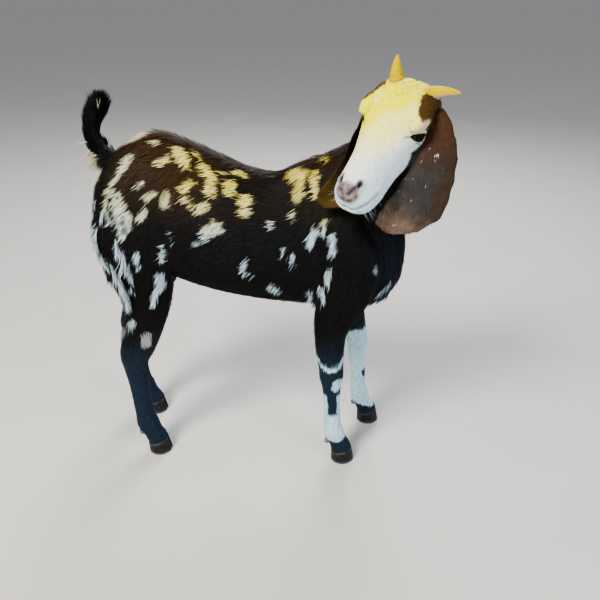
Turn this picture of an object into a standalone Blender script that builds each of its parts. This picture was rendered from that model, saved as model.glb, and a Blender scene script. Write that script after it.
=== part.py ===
"""A standing gujri goat, a kid of about four months, as a still life-size model.

The goat faces +X, its left side is +Y, and the floor is z = 0. Its head is turned back
over its right shoulder. Lengths are in metres. The stations below are measured from a
point on the floor between its feet, and the finished nodes are moved by frameShift, which
puts the origin under the middle of the whole. One run makes one object for each node."""

import math
import random

import bmesh
import bpy
import numpy as np
from mathutils import Matrix, Vector
from mathutils.bvhtree import BVHTree

# Driving dimensions
gap = 0.0003
frameShift = Vector((-0.019, 0.040, 0.0))
stance = 0.062
bodyVoxel = 0.005
headVoxel = 0.0022
bodyTriangles = 5400
headTriangles = 4300
bodySmoothing = 8
headSmoothing = 3

# Torso stations: x, top, bottom, half width, share taken off the width at the top
torsoStations = (
    (-0.256, 0.530, 0.470, 0.030, 0.0),
    (-0.249, 0.560, 0.445, 0.052, 0.05),
    (-0.222, 0.590, 0.425, 0.070, 0.15),
    (-0.185, 0.617, 0.407, 0.081, 0.25),
    (-0.140, 0.631, 0.386, 0.086, 0.30),
    (-0.090, 0.616, 0.366, 0.088, 0.30),
    (-0.040, 0.594, 0.354, 0.093, 0.28),
    (0.010, 0.574, 0.346, 0.095, 0.25),
    (0.055, 0.569, 0.340, 0.090, 0.28),
    (0.090, 0.584, 0.336, 0.083, 0.35),
    (0.130, 0.600, 0.330, 0.076, 0.40),
    (0.170, 0.600, 0.325, 0.072, 0.30),
    (0.210, 0.575, 0.325, 0.066, 0.15),
    (0.245, 0.535, 0.340, 0.053, 0.0),
    (0.268, 0.490, 0.370, 0.036, 0.0),
    (0.275, 0.455, 0.400, 0.018, 0.0),
)
torsoWidest = 0.45
torsoPower = 0.92

# Neck stations: centre, half depth, half width, turn of its left side about the vertical
neckStations = (
    ((0.120, 0.000, 0.490), 0.082, 0.060, 0),
    ((0.165, 0.000, 0.528), 0.078, 0.056, 0),
    ((0.204, -0.003, 0.560), 0.068, 0.048, -15),
    ((0.231, -0.014, 0.590), 0.058, 0.041, -40),
    ((0.247, -0.027, 0.618), 0.046, 0.036, -70),
    ((0.256, -0.041, 0.643), 0.041, 0.035, -100),
    ((0.259, -0.054, 0.663), 0.036, 0.034, -115),
)

# Leg stations from the top down: x, z, half depth along the body, half width, y from the stance
foreTop = (
    (0.120, 0.542, 0.024, 0.012, -0.022),
    (0.146, 0.500, 0.045, 0.025, -0.009),
    (0.178, 0.440, 0.052, 0.033, -0.001),
)
rightFore = (
    (0.174, 0.390, 0.049, 0.034, 0.0),
    (0.160, 0.347, 0.041, 0.031, 0.0),
    (0.150, 0.300, 0.0295, 0.025, 0.0),
    (0.149, 0.255, 0.0260, 0.022, 0.0),
    (0.152, 0.222, 0.0235, 0.021, 0.0),
    (0.153, 0.200, 0.0230, 0.022, 0.0),
    (0.154, 0.175, 0.0185, 0.0185, 0.0),
    (0.156, 0.130, 0.0165, 0.0160, 0.0),
    (0.158, 0.090, 0.0175, 0.0165, 0.0),
    (0.1615, 0.066, 0.0205, 0.0195, 0.0),
    (0.1690, 0.046, 0.0185, 0.0180, 0.0),
    (0.1760, 0.030, 0.0205, 0.0205, 0.0),
    (0.1780, 0.012, 0.0205, 0.0205, 0.0),
)
leftFore = (
    (0.180, 0.390, 0.049, 0.034, 0.0),
    (0.175, 0.347, 0.041, 0.031, 0.0),
    (0.180, 0.300, 0.0295, 0.025, 0.0),
    (0.190, 0.255, 0.0260, 0.022, 0.0),
    (0.198, 0.222, 0.0235, 0.021, 0.0),
    (0.2030, 0.200, 0.0230, 0.022, 0.0),
    (0.2035, 0.175, 0.0190, 0.0185, 0.0),
    (0.2070, 0.130, 0.0165, 0.0160, 0.0),
    (0.2100, 0.090, 0.0175, 0.0165, 0.0),
    (0.2140, 0.066, 0.0205, 0.0195, 0.0),
    (0.2220, 0.046, 0.0185, 0.0180, 0.0),
    (0.2300, 0.030, 0.0205, 0.0205, 0.0),
    (0.2320, 0.012, 0.0205, 0.0205, 0.0),
)
hindTop = (
    (-0.140, 0.588, 0.020, 0.012, -0.026),
    (-0.163, 0.545, 0.051, 0.028, -0.014),
    (-0.179, 0.480, 0.072, 0.036, -0.004),
)
rightHind = (
    (-0.179, 0.425, 0.065, 0.036, 0.0),
    (-0.176, 0.385, 0.054, 0.034, 0.0),
    (-0.175, 0.352, 0.043, 0.031, 0.0),
    (-0.179, 0.322, 0.035, 0.027, 0.0),
    (-0.193, 0.286, 0.0345, 0.024, 0.0),
    (-0.204, 0.256, 0.0320, 0.0215, 0.0),
    (-0.2145, 0.230, 0.0285, 0.0200, 0.0),
    (-0.2165, 0.205, 0.0240, 0.0195, 0.0),
    (-0.2155, 0.175, 0.0210, 0.0175, 0.0),
    (-0.2150, 0.130, 0.0190, 0.0160, 0.0),
    (-0.2135, 0.090, 0.0195, 0.0165, 0.0),
    (-0.2105, 0.068, 0.0225, 0.0195, 0.0),
    (-0.2030, 0.048, 0.0200, 0.0180, 0.0),
    (-0.1950, 0.030, 0.0210, 0.0205, 0.0),
    (-0.1930, 0.012, 0.0205, 0.0205, 0.0),
)
leftHind = (
    (-0.184, 0.425, 0.063, 0.036, 0.0),
    (-0.186, 0.385, 0.052, 0.034, 0.0),
    (-0.193, 0.352, 0.042, 0.031, 0.0),
    (-0.205, 0.320, 0.035, 0.027, 0.0),
    (-0.226, 0.284, 0.0345, 0.024, 0.0),
    (-0.243, 0.254, 0.0320, 0.0215, 0.0),
    (-0.2570, 0.228, 0.0285, 0.0200, 0.0),
    (-0.2610, 0.204, 0.0240, 0.0195, 0.0),
    (-0.2610, 0.175, 0.0210, 0.0175, 0.0),
    (-0.2605, 0.130, 0.0190, 0.0160, 0.0),
    (-0.2590, 0.090, 0.0195, 0.0165, 0.0),
    (-0.2555, 0.068, 0.0225, 0.0195, 0.0),
    (-0.2470, 0.048, 0.0200, 0.0180, 0.0),
    (-0.2380, 0.030, 0.0210, 0.0205, 0.0),
    (-0.2360, 0.012, 0.0205, 0.0205, 0.0),
)
legs = {
    "foreleg_right": (foreTop + rightFore, -1),
    "foreleg_left": (foreTop + leftFore, 1),
    "hindleg_right": (hindTop + rightHind, -1),
    "hindleg_left": (hindTop + leftHind, 1),
}

# Stations of the tail under its brush: x, z, half depth, half width
tailStations = (
    (-0.200, 0.560, 0.018, 0.018),
    (-0.228, 0.582, 0.016, 0.017),
    (-0.2470, 0.605, 0.0120, 0.0130),
    (-0.2495, 0.628, 0.0110, 0.0115),
    (-0.2435, 0.646, 0.0105, 0.0105),
    (-0.2340, 0.660, 0.0078, 0.0078),
    (-0.2285, 0.669, 0.0035, 0.0035),
)

# Long hair as locks: rings and corners of one lock, how deep its root is sunk
lockRings = 4
lockCorners = 5
lockSink = 0.006
lockSeed = 7

# Brush of the tail: height of each row on the tail, locks round it, length, half width
tailRows = (
    (0.614, 4, 0.034, 0.0115),
    (0.634, 5, 0.038, 0.0120),
    (0.655, 4, 0.033, 0.0100),
)
tailSpread = 0.34
tailSink = 0.003

# Breeches: height of each row behind the thigh, its turns from the rear, length, half width,
# how far it stands off
breechRows = (
    (0.535, (-24, 6, 36), 0.075, 0.0180, 0.010),
    (0.480, (-6, 24, 54), 0.080, 0.0175, 0.010),
    (0.424, (14, 42, 70), 0.066, 0.0155, 0.004),
    (0.368, (4, 30, 58), 0.060, 0.0135, 0.004),
    (0.326, (10, 44), 0.048, 0.0115, 0.005),
)
lockThickness = 0.0034
lockLie = 0.85

# Head frame: origin at the poll, then the muzzle's way, the goat's left and the crown's way
headScale = 0.96
poll = Vector((0.2589, -0.0716, 0.7160))
forward = Vector((-0.563, -0.685, -0.461)).normalized()
leftward = Vector((0.814, -0.556, -0.169))
leftward = (leftward - forward * leftward.dot(forward)).normalized()
crownward = forward.cross(leftward)

# Head stations in that frame: forward, top, widest level, bottom, half width, top pinch
headStations = (
    (-0.018, -0.024, -0.040, -0.056, 0.016, 0.0),
    (-0.009, -0.004, -0.036, -0.082, 0.035, 0.0),
    (0.006, 0.009, -0.030, -0.095, 0.044, -0.05),
    (0.024, 0.013, -0.028, -0.102, 0.048, -0.10),
    (0.044, 0.011, -0.030, -0.105, 0.0500, -0.14),
    (0.064, 0.005, -0.033, -0.103, 0.0470, -0.16),
    (0.084, -0.003, -0.041, -0.101, 0.0425, -0.10),
    (0.104, -0.010, -0.051, -0.100, 0.0380, 0.02),
    (0.124, -0.017, -0.060, -0.101, 0.0345, 0.16),
    (0.144, -0.024, -0.066, -0.102, 0.0330, 0.25),
    (0.162, -0.031, -0.069, -0.103, 0.0310, 0.25),
    (0.176, -0.038, -0.070, -0.101, 0.0285, 0.22),
    (0.186, -0.046, -0.071, -0.095, 0.0225, 0.15),
    (0.192, -0.055, -0.071, -0.085, 0.0130, 0.0),
)

# Muscle and bone under the skin of the head: centre in the head frame, radii
headMasses = (
    ((0.054, 0.042, -0.007), (0.027, 0.014, 0.013)),
    ((0.034, 0.032, -0.006), (0.030, 0.019, 0.017)),
    ((0.056, 0.023, -0.074), (0.027, 0.012, 0.025)),
    ((0.170, 0.012, -0.052), (0.013, 0.012, 0.013)),
    ((0.026, 0.041, -0.033), (0.015, 0.012, 0.015)),
)

eyeCentre = (0.064, 0.0375, -0.0270)
eyeRadius = 0.0130
lidHalfLength = 0.0136
lidHalfHeight = 0.0052
lidArch = (1.20, 0.85)
lidTilt = 28
lidTurn = 22
lidThickness = 0.0024
lidLift = 0.0006
lidSink = 0.004

mouthLine = (
    (0.2020, -0.0800),
    (0.1915, -0.0780),
    (0.1860, -0.0728),
    (0.1710, -0.0702),
    (0.1480, -0.0680),
)
nostrilSlit = (
    (0.1880, 0.0060, -0.0520),
    (0.1830, 0.0108, -0.0475),
    (0.1765, 0.0145, -0.0445),
    (0.1700, 0.0150, -0.0425),
)

hornRings = 7
hornBaseRadius = 0.0118
rightHorn = ((0.012, -0.026, 0.003), (0.008, -0.029, 0.025), (-0.006, -0.034, 0.036))
leftHorn = ((0.012, 0.027, -0.001), (0.010, 0.050, 0.014), (0.000, 0.073, 0.009))

# Ear midlines from the root down, with half widths and the way across, in world metres
leftEar = (
    ((0.2750, -0.0920, 0.6770), 0.012, (0.45, 0.10, 0.80)),
    ((0.2840, -0.1000, 0.6800), 0.014, (0.60, 0.20, 0.70)),
    ((0.2895, -0.1070, 0.6680), 0.018, (0.85, 0.10, 0.40)),
    ((0.2930, -0.1130, 0.6490), 0.022, (0.95, 0.10, 0.15)),
    ((0.2915, -0.1175, 0.6260), 0.029, (1.00, 0.12, 0.05)),
    ((0.2845, -0.1170, 0.5980), 0.036, (1.00, 0.10, 0.00)),
    ((0.2745, -0.1140, 0.5680), 0.043, (1.00, 0.04, 0.05)),
    ((0.2640, -0.1115, 0.5400), 0.045, (1.00, 0.00, -0.08)),
    ((0.2500, -0.1110, 0.5230), 0.037, (1.00, 0.00, -0.14)),
    ((0.2420, -0.1105, 0.5130), 0.024, (1.00, 0.00, -0.20)),
    ((0.2360, -0.1100, 0.5080), 0.009, (1.00, 0.00, -0.25)),
)
rightEar = (
    ((0.2200, -0.0560, 0.6850), 0.012, (0.50, 0.40, 0.70)),
    ((0.2090, -0.0500, 0.6850), 0.016, (0.60, 0.50, 0.60)),
    ((0.2000, -0.0490, 0.6730), 0.019, (0.60, 0.70, 0.20)),
    ((0.1920, -0.0520, 0.6510), 0.021, (0.70, 0.72, 0.00)),
    ((0.1850, -0.0585, 0.6290), 0.022, (0.78, 0.62, 0.00)),
    ((0.1800, -0.0660, 0.6080), 0.023, (0.87, 0.48, -0.05)),
    ((0.1710, -0.0725, 0.5870), 0.024, (0.92, 0.30, -0.20)),
    ((0.1595, -0.0800, 0.5640), 0.026, (0.90, 0.15, -0.35)),
    ((0.1430, -0.0860, 0.5500), 0.020, (0.80, 0.10, -0.55)),
    ((0.1290, -0.0890, 0.5440), 0.008, (0.70, 0.10, -0.70)),
)
earThickness = 0.0042
earCup = 0.22
earRootRings = 6
earGap = 0.0005

# Hooves: each foot has two claws and, behind the pastern, two dewclaws
coronetSlope = 0.27
clawHalfLength = 0.0225
clawWidth = 0.0185
clawTopHalfLength = 0.0195
clawTopWidth = 0.0175
clawSplit = 0.0010
clawForward = 0.0035
dewclawRadius = 0.0052
dewclawHeight = 0.049
dewclawBehind = 0.0195
dewclawAside = 0.0085

# Cuts between the nodes: level ones, then a point on each slanting one with its normal
foreCut = 0.312
kneeCut = 0.203
hockCut = 0.208
coronetHeight = 0.0265
thighCut = ((-0.207, 0.0, 0.4032), (0.290, 0.0, 0.957))
headCut = ((0.0235, 0.0, -0.0905), (0.42, 0.35, 0.80))
neckCut = ((0.185, 0.0, 0.545), (0.62, 0.0, 0.78))
tailCut = ((-0.238, 0.0, 0.5990), (-0.60, 0.0, 0.80))

coatColour = (0.012, 0.009, 0.008, 1)
faceColour = (0.75, 0.72, 0.68, 1)
earColour = (0.09, 0.045, 0.03, 1)
hoofColour = (0.12, 0.12, 0.13, 1)
hornColour = (0.75, 0.55, 0.06, 1)
eyeColour = (0.02, 0.012, 0.008, 1)


def clearScene():
    for item in list(bpy.data.objects):
        bpy.data.objects.remove(item)


def makeCollection(name):
    made = bpy.data.collections.new(name)
    bpy.context.scene.collection.children.link(made)
    return made


def makeMaterial(name, colour, roughness):
    made = bpy.data.materials.new(name)
    made.use_nodes = True
    shader = made.node_tree.nodes["Principled BSDF"]
    shader.inputs["Base Color"].default_value = colour
    shader.inputs["Roughness"].default_value = roughness
    shader.inputs["Metallic"].default_value = 0.0
    made.diffuse_color = colour
    return made


def objectFrom(name, mesh, collection):
    made = bpy.data.objects.new(name, mesh)
    collection.objects.link(made)
    return made


def headPoint(local):
    away = forward * local[0] + leftward * local[1] + crownward * local[2]
    return poll + away * headScale


def mirrored(local):
    return (local[0], -local[1], local[2])


def ring(centre, across, upward, halfAcross, above, below, count, pinch=0.0, power=1.0):
    """One closed section: an ellipse with unlike upper and lower halves."""
    points = []
    for step in range(count):
        angle = 2 * math.pi * step / count
        side, rise = math.cos(angle), math.sin(angle)
        wide = math.copysign(abs(side) ** power, side) * halfAcross * (1 - pinch * rise)
        tall = math.copysign(abs(rise) ** power, rise) * (above if rise > 0 else below)
        points.append(centre + across * wide + upward * tall)
    return points


def loft(name, rings, collection):
    """A closed surface through rings of the same number of points, capped at both ends."""
    mesh = bpy.data.meshes.new(name)
    shape = bmesh.new()
    rows = [[shape.verts.new(point) for point in points] for points in rings]
    count = len(rows[0])
    for lower, upper in zip(rows, rows[1:]):
        for step in range(count):
            following = (step + 1) % count
            shape.faces.new((lower[step], lower[following], upper[following], upper[step]))
    sides = list(shape.faces)
    shape.faces.new(rows[0][::-1])
    shape.faces.new(rows[-1])
    bmesh.ops.triangulate(shape, faces=sides, quad_method="FIXED")
    bmesh.ops.recalc_face_normals(shape, faces=shape.faces)
    shape.to_mesh(mesh)
    shape.free()
    return objectFrom(name, mesh, collection)


def tubeRings(stations, count, side):
    """Sections square to the line of their centres, with their width along a given side."""
    centres = [Vector(station[0]) for station in stations]
    rings = []
    for step, (centre, halfDepth, halfWidth) in enumerate(stations):
        before = centres[max(step - 1, 0)]
        after = centres[min(step + 1, len(centres) - 1)]
        along = (after - before).normalized()
        depthWay = along.cross(side).normalized()
        across = depthWay.cross(along).normalized()
        rings.append(
            ring(Vector(centre), across, depthWay, halfWidth, halfDepth, halfDepth, count)
        )
    return rings


def torsoForm(collection):
    rings = []
    for x, top, bottom, halfWidth, pinch in torsoStations:
        widest = bottom + torsoWidest * (top - bottom)
        rings.append(
            ring(
                Vector((x, 0, widest)),
                Vector((0, 1, 0)),
                Vector((0, 0, 1)),
                halfWidth,
                top - widest,
                widest - bottom,
                32,
                pinch,
                torsoPower,
            )
        )
    return loft("torso form", rings, collection)


def neckForm(collection):
    centres = [Vector(station[0]) for station in neckStations]
    rings = []
    for step, (centre, halfDepth, halfWidth, turn) in enumerate(neckStations):
        before = centres[max(step - 1, 0)]
        after = centres[min(step + 1, len(centres) - 1)]
        along = (after - before).normalized()
        swing = math.radians(90 + turn)
        side = Vector((math.cos(swing), math.sin(swing), 0))
        across = (side - along * side.dot(along)).normalized()
        upward = across.cross(along).normalized()
        rings.append(
            ring(Vector(centre), across, upward, halfWidth, halfDepth, halfDepth, 28)
        )
    return loft("neck form", rings, collection)


def legForm(name, collection):
    stations, side = legs[name]
    placed = [
        ((x, side * (stance + inset), z), halfDepth, halfWidth)
        for x, z, halfDepth, halfWidth, inset in stations
    ]
    return loft(name + " form", tubeRings(placed, 24, Vector((0, 1, 0))), collection)


def tailForm(collection):
    placed = [((x, 0, z), depth, width) for x, z, depth, width in tailStations]
    return loft("tail form", tubeRings(placed, 16, Vector((0, 1, 0))), collection)


def headForm(collection):
    rings = []
    for reach, top, widest, bottom, halfWidth, pinch in headStations:
        rings.append(
            ring(
                headPoint((reach, 0, widest)),
                leftward,
                crownward,
                halfWidth * headScale,
                (top - widest) * headScale,
                (widest - bottom) * headScale,
                32,
                pinch,
                0.82,
            )
        )
    return loft("head form", rings, collection)


def ballForm(name, centre, radii, collection, segments=24, rings=14):
    """An ellipsoid in the head frame."""
    mesh = bpy.data.meshes.new(name)
    shape = bmesh.new()
    bmesh.ops.create_uvsphere(shape, u_segments=segments, v_segments=rings, radius=1)
    for vert in shape.verts:
        local = [centre[axis] + vert.co[axis] * radii[axis] for axis in range(3)]
        vert.co = headPoint(local)
    bmesh.ops.recalc_face_normals(shape, faces=shape.faces)
    shape.to_mesh(mesh)
    shape.free()
    return objectFrom(name, mesh, collection)


def headMassForms(collection):
    made = []
    for centre, radii in headMasses:
        for place in (centre, mirrored(centre)):
            made.append(ballForm("mass form", place, radii, collection))
    return made


def eyePlace(side):
    return (eyeCentre[0], side * eyeCentre[1], eyeCentre[2])


def lidAxes(side):
    """Rows in the head frame: the way to the eye's front corner, up across it, and out of it."""
    tilt, turn = math.radians(lidTilt), math.radians(lidTurn)
    front = (
        math.cos(turn) * math.cos(tilt),
        -side * math.sin(turn) * math.cos(tilt),
        math.sin(tilt),
    )
    out = (math.sin(turn), side * math.cos(turn), 0.0)
    upward = (
        -math.cos(turn) * math.sin(tilt),
        side * math.sin(turn) * math.sin(tilt),
        math.cos(tilt),
    )
    return np.array((front, upward, out))


def lidForms(collection):
    """A thick almond loop round each eye, lying on the eyeball."""
    made = []
    for side in (1, -1):
        curve = bpy.data.curves.new("lid form", "CURVE")
        curve.dimensions = "3D"
        curve.bevel_depth = lidThickness
        curve.bevel_resolution = 3
        spline = curve.splines.new("POLY")
        steps = 28
        spline.points.add(steps - 1)
        spline.use_cyclic_u = True
        for step in range(steps):
            angle = 2 * math.pi * step / steps
            reach = lidHalfLength * math.cos(angle)
            arch = lidArch[0] if math.sin(angle) > 0 else -lidArch[1]
            rise = lidHalfHeight * arch * abs(math.sin(angle)) ** 1.3
            shell = eyeRadius + lidLift
            out = math.sqrt(max(shell**2 - reach**2 - rise**2, lidSink**2))
            local = np.array(eyePlace(side)) + (reach, rise, out) @ lidAxes(side)
            spline.points[step].co = (*headPoint(local), 1)
        loop = objectFrom("lid form", curve, collection)
        made.append(meshed(loop, collection))
    return made


def meshed(item, collection):
    """The object's evaluated mesh as a plain mesh object in its place."""
    graph = bpy.context.evaluated_depsgraph_get()
    mesh = bpy.data.meshes.new_from_object(item.evaluated_get(graph))
    name = item.name
    bpy.data.objects.remove(item)
    return objectFrom(name, mesh, collection)


def joined(items, name):
    """All the items' faces in the first one."""
    bpy.ops.object.select_all(action="DESELECT")
    for item in items:
        item.select_set(True)
    bpy.context.view_layer.objects.active = items[0]
    bpy.ops.object.join()
    items[0].name = name
    return items[0]


def settle(item):
    """Apply every modifier."""
    bpy.context.view_layer.update()
    graph = bpy.context.evaluated_depsgraph_get()
    mesh = bpy.data.meshes.new_from_object(item.evaluated_get(graph))
    item.modifiers.clear()
    item.data = mesh


def skinOver(item, voxel, rounds):
    remesh = item.modifiers.new("skin", "REMESH")
    remesh.mode = "VOXEL"
    remesh.voxel_size = voxel
    smooth = item.modifiers.new("soften", "SMOOTH")
    smooth.factor = 0.5
    smooth.iterations = rounds
    settle(item)


def thin(item, target):
    """Fewer triangles, with more of them kept where the surface bends."""
    item.data.calc_loop_triangles()
    decimate = item.modifiers.new("thin", "DECIMATE")
    decimate.ratio = min(1.0, target / len(item.data.loop_triangles))
    settle(item)


def arraysOf(item):
    mesh = item.data
    points = np.empty(len(mesh.vertices) * 3)
    mesh.vertices.foreach_get("co", points)
    normals = np.empty(len(mesh.vertices) * 3)
    mesh.vertices.foreach_get("normal", normals)
    return points.reshape(-1, 3), normals.reshape(-1, 3)


def toHead(points):
    axes = np.array([forward, leftward, crownward])
    return (points - np.array(poll)) @ axes.T / headScale


def lineDistance(points, line):
    """Distance from each point to a line of given corners."""
    best = np.full(len(points), np.inf)
    for start, end in zip(line, line[1:]):
        start, end = np.array(start), np.array(end)
        way = end - start
        share = np.clip((points - start) @ way / (way @ way), 0, 1)
        apart = np.linalg.norm(points - start - share[:, None] * way, axis=1)
        best = np.minimum(best, apart)
    return best


def carveFace(item):
    """Presses the mouth line, the nostrils and the sockets into the head."""
    points, normals = arraysOf(item)
    local = toHead(points)
    push = np.zeros(len(points))
    sideView = local[:, (0, 2)]
    front = local[:, 0] > 0.125
    apart = lineDistance(sideView, mouthLine)
    push -= front * 0.0030 * np.exp(-((apart / 0.0022) ** 2))
    for level in (0.0065, -0.0065):
        lip = [(reach, height + level) for reach, height in mouthLine]
        push += front * 0.0010 * np.exp(-((lineDistance(sideView, lip) / 0.0045) ** 2))
    for side in (1, -1):
        slit = [(reach, side * aside, height) for reach, aside, height in nostrilSlit]
        push -= 0.0055 * np.exp(-((lineDistance(local, slit) / 0.0042) ** 2))
        across, upright, out = ((local - eyePlace(side)) @ lidAxes(side).T).T
        high = lidHalfHeight * np.where(upright > 0, lidArch[0], lidArch[1])
        inside = np.hypot(across / (lidHalfLength * 0.92), upright / (high * 0.92))
        facing = np.clip((out + 0.012) / 0.008, 0, 1)
        push -= facing * 0.0075 * np.clip((1.15 - inside) / 0.4, 0, 1)
    points += normals * push[:, None]
    item.data.vertices.foreach_set("co", points.ravel())
    item.data.update()


def plate(centre, normal, alongWay, halfLength, halfWidth, collection):
    """A thin cutter across the given normal."""
    normal = Vector(normal).normalized()
    length = Vector(alongWay)
    length = (length - normal * length.dot(normal)).normalized()
    width = normal.cross(length)
    mesh = bpy.data.meshes.new("cut")
    shape = bmesh.new()
    bmesh.ops.create_cube(shape, size=2)
    for vert in shape.verts:
        offset = length * (vert.co.x * halfLength) + width * (vert.co.y * halfWidth)
        vert.co = Vector(centre) + offset + normal * (vert.co.z * gap / 2)
    bmesh.ops.recalc_face_normals(shape, faces=shape.faces)
    shape.to_mesh(mesh)
    shape.free()
    cutter = objectFrom("cut", mesh, collection)
    cutter.display_type = "WIRE"
    cutter.hide_render = True
    return cutter


def boolean(item, collection, operation):
    step = item.modifiers.new("join or cut", "BOOLEAN")
    step.operation = operation
    step.operand_type = "COLLECTION"
    step.collection = collection
    step.solver = "MANIFOLD"
    settle(item)
    for other in list(collection.objects):
        bpy.data.objects.remove(other)


def splitApart(item):
    """The loose pieces of an object, as objects."""
    bpy.ops.object.select_all(action="DESELECT")
    item.select_set(True)
    bpy.context.view_layer.objects.active = item
    bpy.ops.object.mode_set(mode="EDIT")
    bpy.ops.mesh.select_all(action="SELECT")
    bpy.ops.mesh.separate(type="LOOSE")
    bpy.ops.object.mode_set(mode="OBJECT")
    return list(bpy.context.selected_objects)


def volumeOf(item):
    shape = bmesh.new()
    shape.from_mesh(item.data)
    volume = shape.calc_volume()
    shape.free()
    return volume


def middleOf(item):
    points, _ = arraysOf(item)
    return Vector((points.min(axis=0) + points.max(axis=0)) / 2)


def keepLargest(item):
    pieces = splitApart(item)
    name = item.name
    pieces.sort(key=volumeOf, reverse=True)
    for scrap in pieces[1:]:
        bpy.data.objects.remove(scrap)
    pieces[0].name = name
    return pieces[0]


def namePieces(pieces, seeds):
    """Gives each name the piece whose middle lies nearest its seed, and drops the rest."""
    kept = {}
    for name, seed in seeds.items():
        nearest = min(pieces, key=lambda piece: (middleOf(piece) - Vector(seed)).length)
        kept[name] = nearest
    for piece in pieces:
        if piece not in kept.values():
            bpy.data.objects.remove(piece)
    for name, piece in kept.items():
        piece.name = name
        piece.data.name = name
    return kept


def legPoint(name, height):
    """The leg's centre at a height, read from its stations."""
    stations, side = legs[name]
    rows = sorted((z, x, side * (stance + inset)) for x, z, _, _, inset in stations)
    for (low, lowX, lowY), (high, highX, highY) in zip(rows, rows[1:]):
        if low <= height <= high:
            share = (height - low) / (high - low)
            x = lowX + share * (highX - lowX)
            return Vector((x, lowY + share * (highY - lowY), height))
    return None


def headCutPlane():
    centre, normal = headCut
    way = forward * normal[0] + leftward * normal[1] + crownward * normal[2]
    return headPoint(centre), way


def coronetNormal():
    return Vector((-coronetSlope, 0, 1)).normalized()


def cutBody(body, cutters):
    sideways = Vector((0, 1, 0))
    centre, normal = headCutPlane()
    plate(centre, normal, leftward, 0.075, 0.075, cutters)
    plate(neckCut[0], neckCut[1], sideways, 0.12, 0.14, cutters)
    plate(thighCut[0], thighCut[1], sideways, 0.15, 0.121, cutters)
    plate((0.17, 0, foreCut), (0, 0, 1), sideways, 0.11, 0.08, cutters)
    plate(tailCut[0], tailCut[1], sideways, 0.03, 0.028, cutters)
    for name in legs:
        middle = kneeCut if name.startswith("fore") else hockCut
        plate(legPoint(name, middle), (0, 0, 1), sideways, 0.042, 0.055, cutters)
        coronet = legPoint(name, coronetHeight)
        plate(coronet, coronetNormal(), sideways, 0.030, 0.030, cutters)
    boolean(body, cutters, "DIFFERENCE")
    seeds = {
        "torso": (0.0, 0.0, 0.480),
        "neck": (0.225, -0.015, 0.580),
        "tail": (-0.240, 0.0, 0.645),
    }
    for name in legs:
        top = foreCut if name.startswith("fore") else thighCut[0][2]
        middle = kneeCut if name.startswith("fore") else hockCut
        seeds[name + "_upper"] = legPoint(name, (top + middle) / 2)
        seeds[name + "_lower"] = legPoint(name, (middle + coronetHeight) / 2)
    return namePieces(splitApart(body), seeds)


def lockObject(root, normal, lie, size, stand, sink, collection):
    """A flat lock: rooted under the surface, laid along the lie and tapered to its tip."""
    length, halfWidth, halfThick = size
    lie = (lie - normal * lie.dot(normal) * lockLie).normalized()
    side = normal.cross(lie).normalized()
    rings = []
    for step in range(lockRings):
        share = step / (lockRings - 1)
        rise = stand * math.sin(share * math.pi * 0.6) - sink * (1 - share) ** 2
        centre = root + lie * (length * share) + normal * rise
        taper = (1 - share) ** 0.65 * (0.8 + 0.4 * share) + 0.07
        upward = (normal - lie * 0.35 * (1 - share)).normalized()
        thick = halfThick * (0.35 + 0.65 * taper)
        rings.append(ring(centre, side, upward, halfWidth * taper, thick, thick, lockCorners))
    return loft("lock", rings, collection)


def tailLocks(tree, draw, collection):
    stations = sorted((z, x) for x, z, _, _ in tailStations)
    heights = [z for z, _ in stations]
    reaches = [x for _, x in stations]
    for row, (height, count, length, halfWidth) in enumerate(tailRows):
        middle = Vector((np.interp(height, heights, reaches), 0, height))
        above = Vector((np.interp(height + 0.01, heights, reaches), 0, height + 0.01))
        along = (above - middle).normalized()
        for step in range(count):
            turn = 2 * math.pi * (step + 0.5 * (row % 2) + draw.uniform(-0.1, 0.1)) / count
            away = Vector((math.cos(turn), math.sin(turn), 0))
            place, normal, _, _ = tree.ray_cast(middle, away)
            lie = along + normal * (tailSpread / (1 - lockLie))
            size = (length * draw.uniform(0.9, 1.1), halfWidth, lockThickness * 0.9)
            lockObject(place, normal, lie, size, 0.002, tailSink, collection)


def breechLocks(tree, draw, collection):
    for name, side in (("hindleg_right", -1), ("hindleg_left", 1)):
        for height, turns, length, halfWidth, stand in breechRows:
            middle = legPoint(name, height)
            for turn in turns:
                swing = math.radians(turn + draw.uniform(-4, 4))
                away = Vector((-math.cos(swing), side * math.sin(swing), 0))
                place, normal, _, _ = tree.ray_cast(middle, away)
                lie = Vector((-0.10, side * draw.uniform(-0.02, 0.10), -1))
                size = (length * draw.uniform(0.88, 1.12), halfWidth, lockThickness)
                lockObject(place, normal, lie, size, stand, lockSink, collection)


def growLocks(body, locks):
    """Fuses the brush of the tail and the breeches with the body in one union."""
    tree = BVHTree.FromObject(body, bpy.context.evaluated_depsgraph_get())
    draw = random.Random(lockSeed)
    tailLocks(tree, draw, locks)
    breechLocks(tree, draw, locks)
    boolean(body, locks, "UNION")


def buildBody(forms, locks, cutters):
    items = [torsoForm(forms), neckForm(forms), headForm(forms), tailForm(forms)]
    items += [legForm(name, forms) for name in legs]
    body = joined(items, "body")
    skinOver(body, bodyVoxel, bodySmoothing)
    thin(body, bodyTriangles)
    growLocks(body, locks)
    return cutBody(body, cutters)


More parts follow.
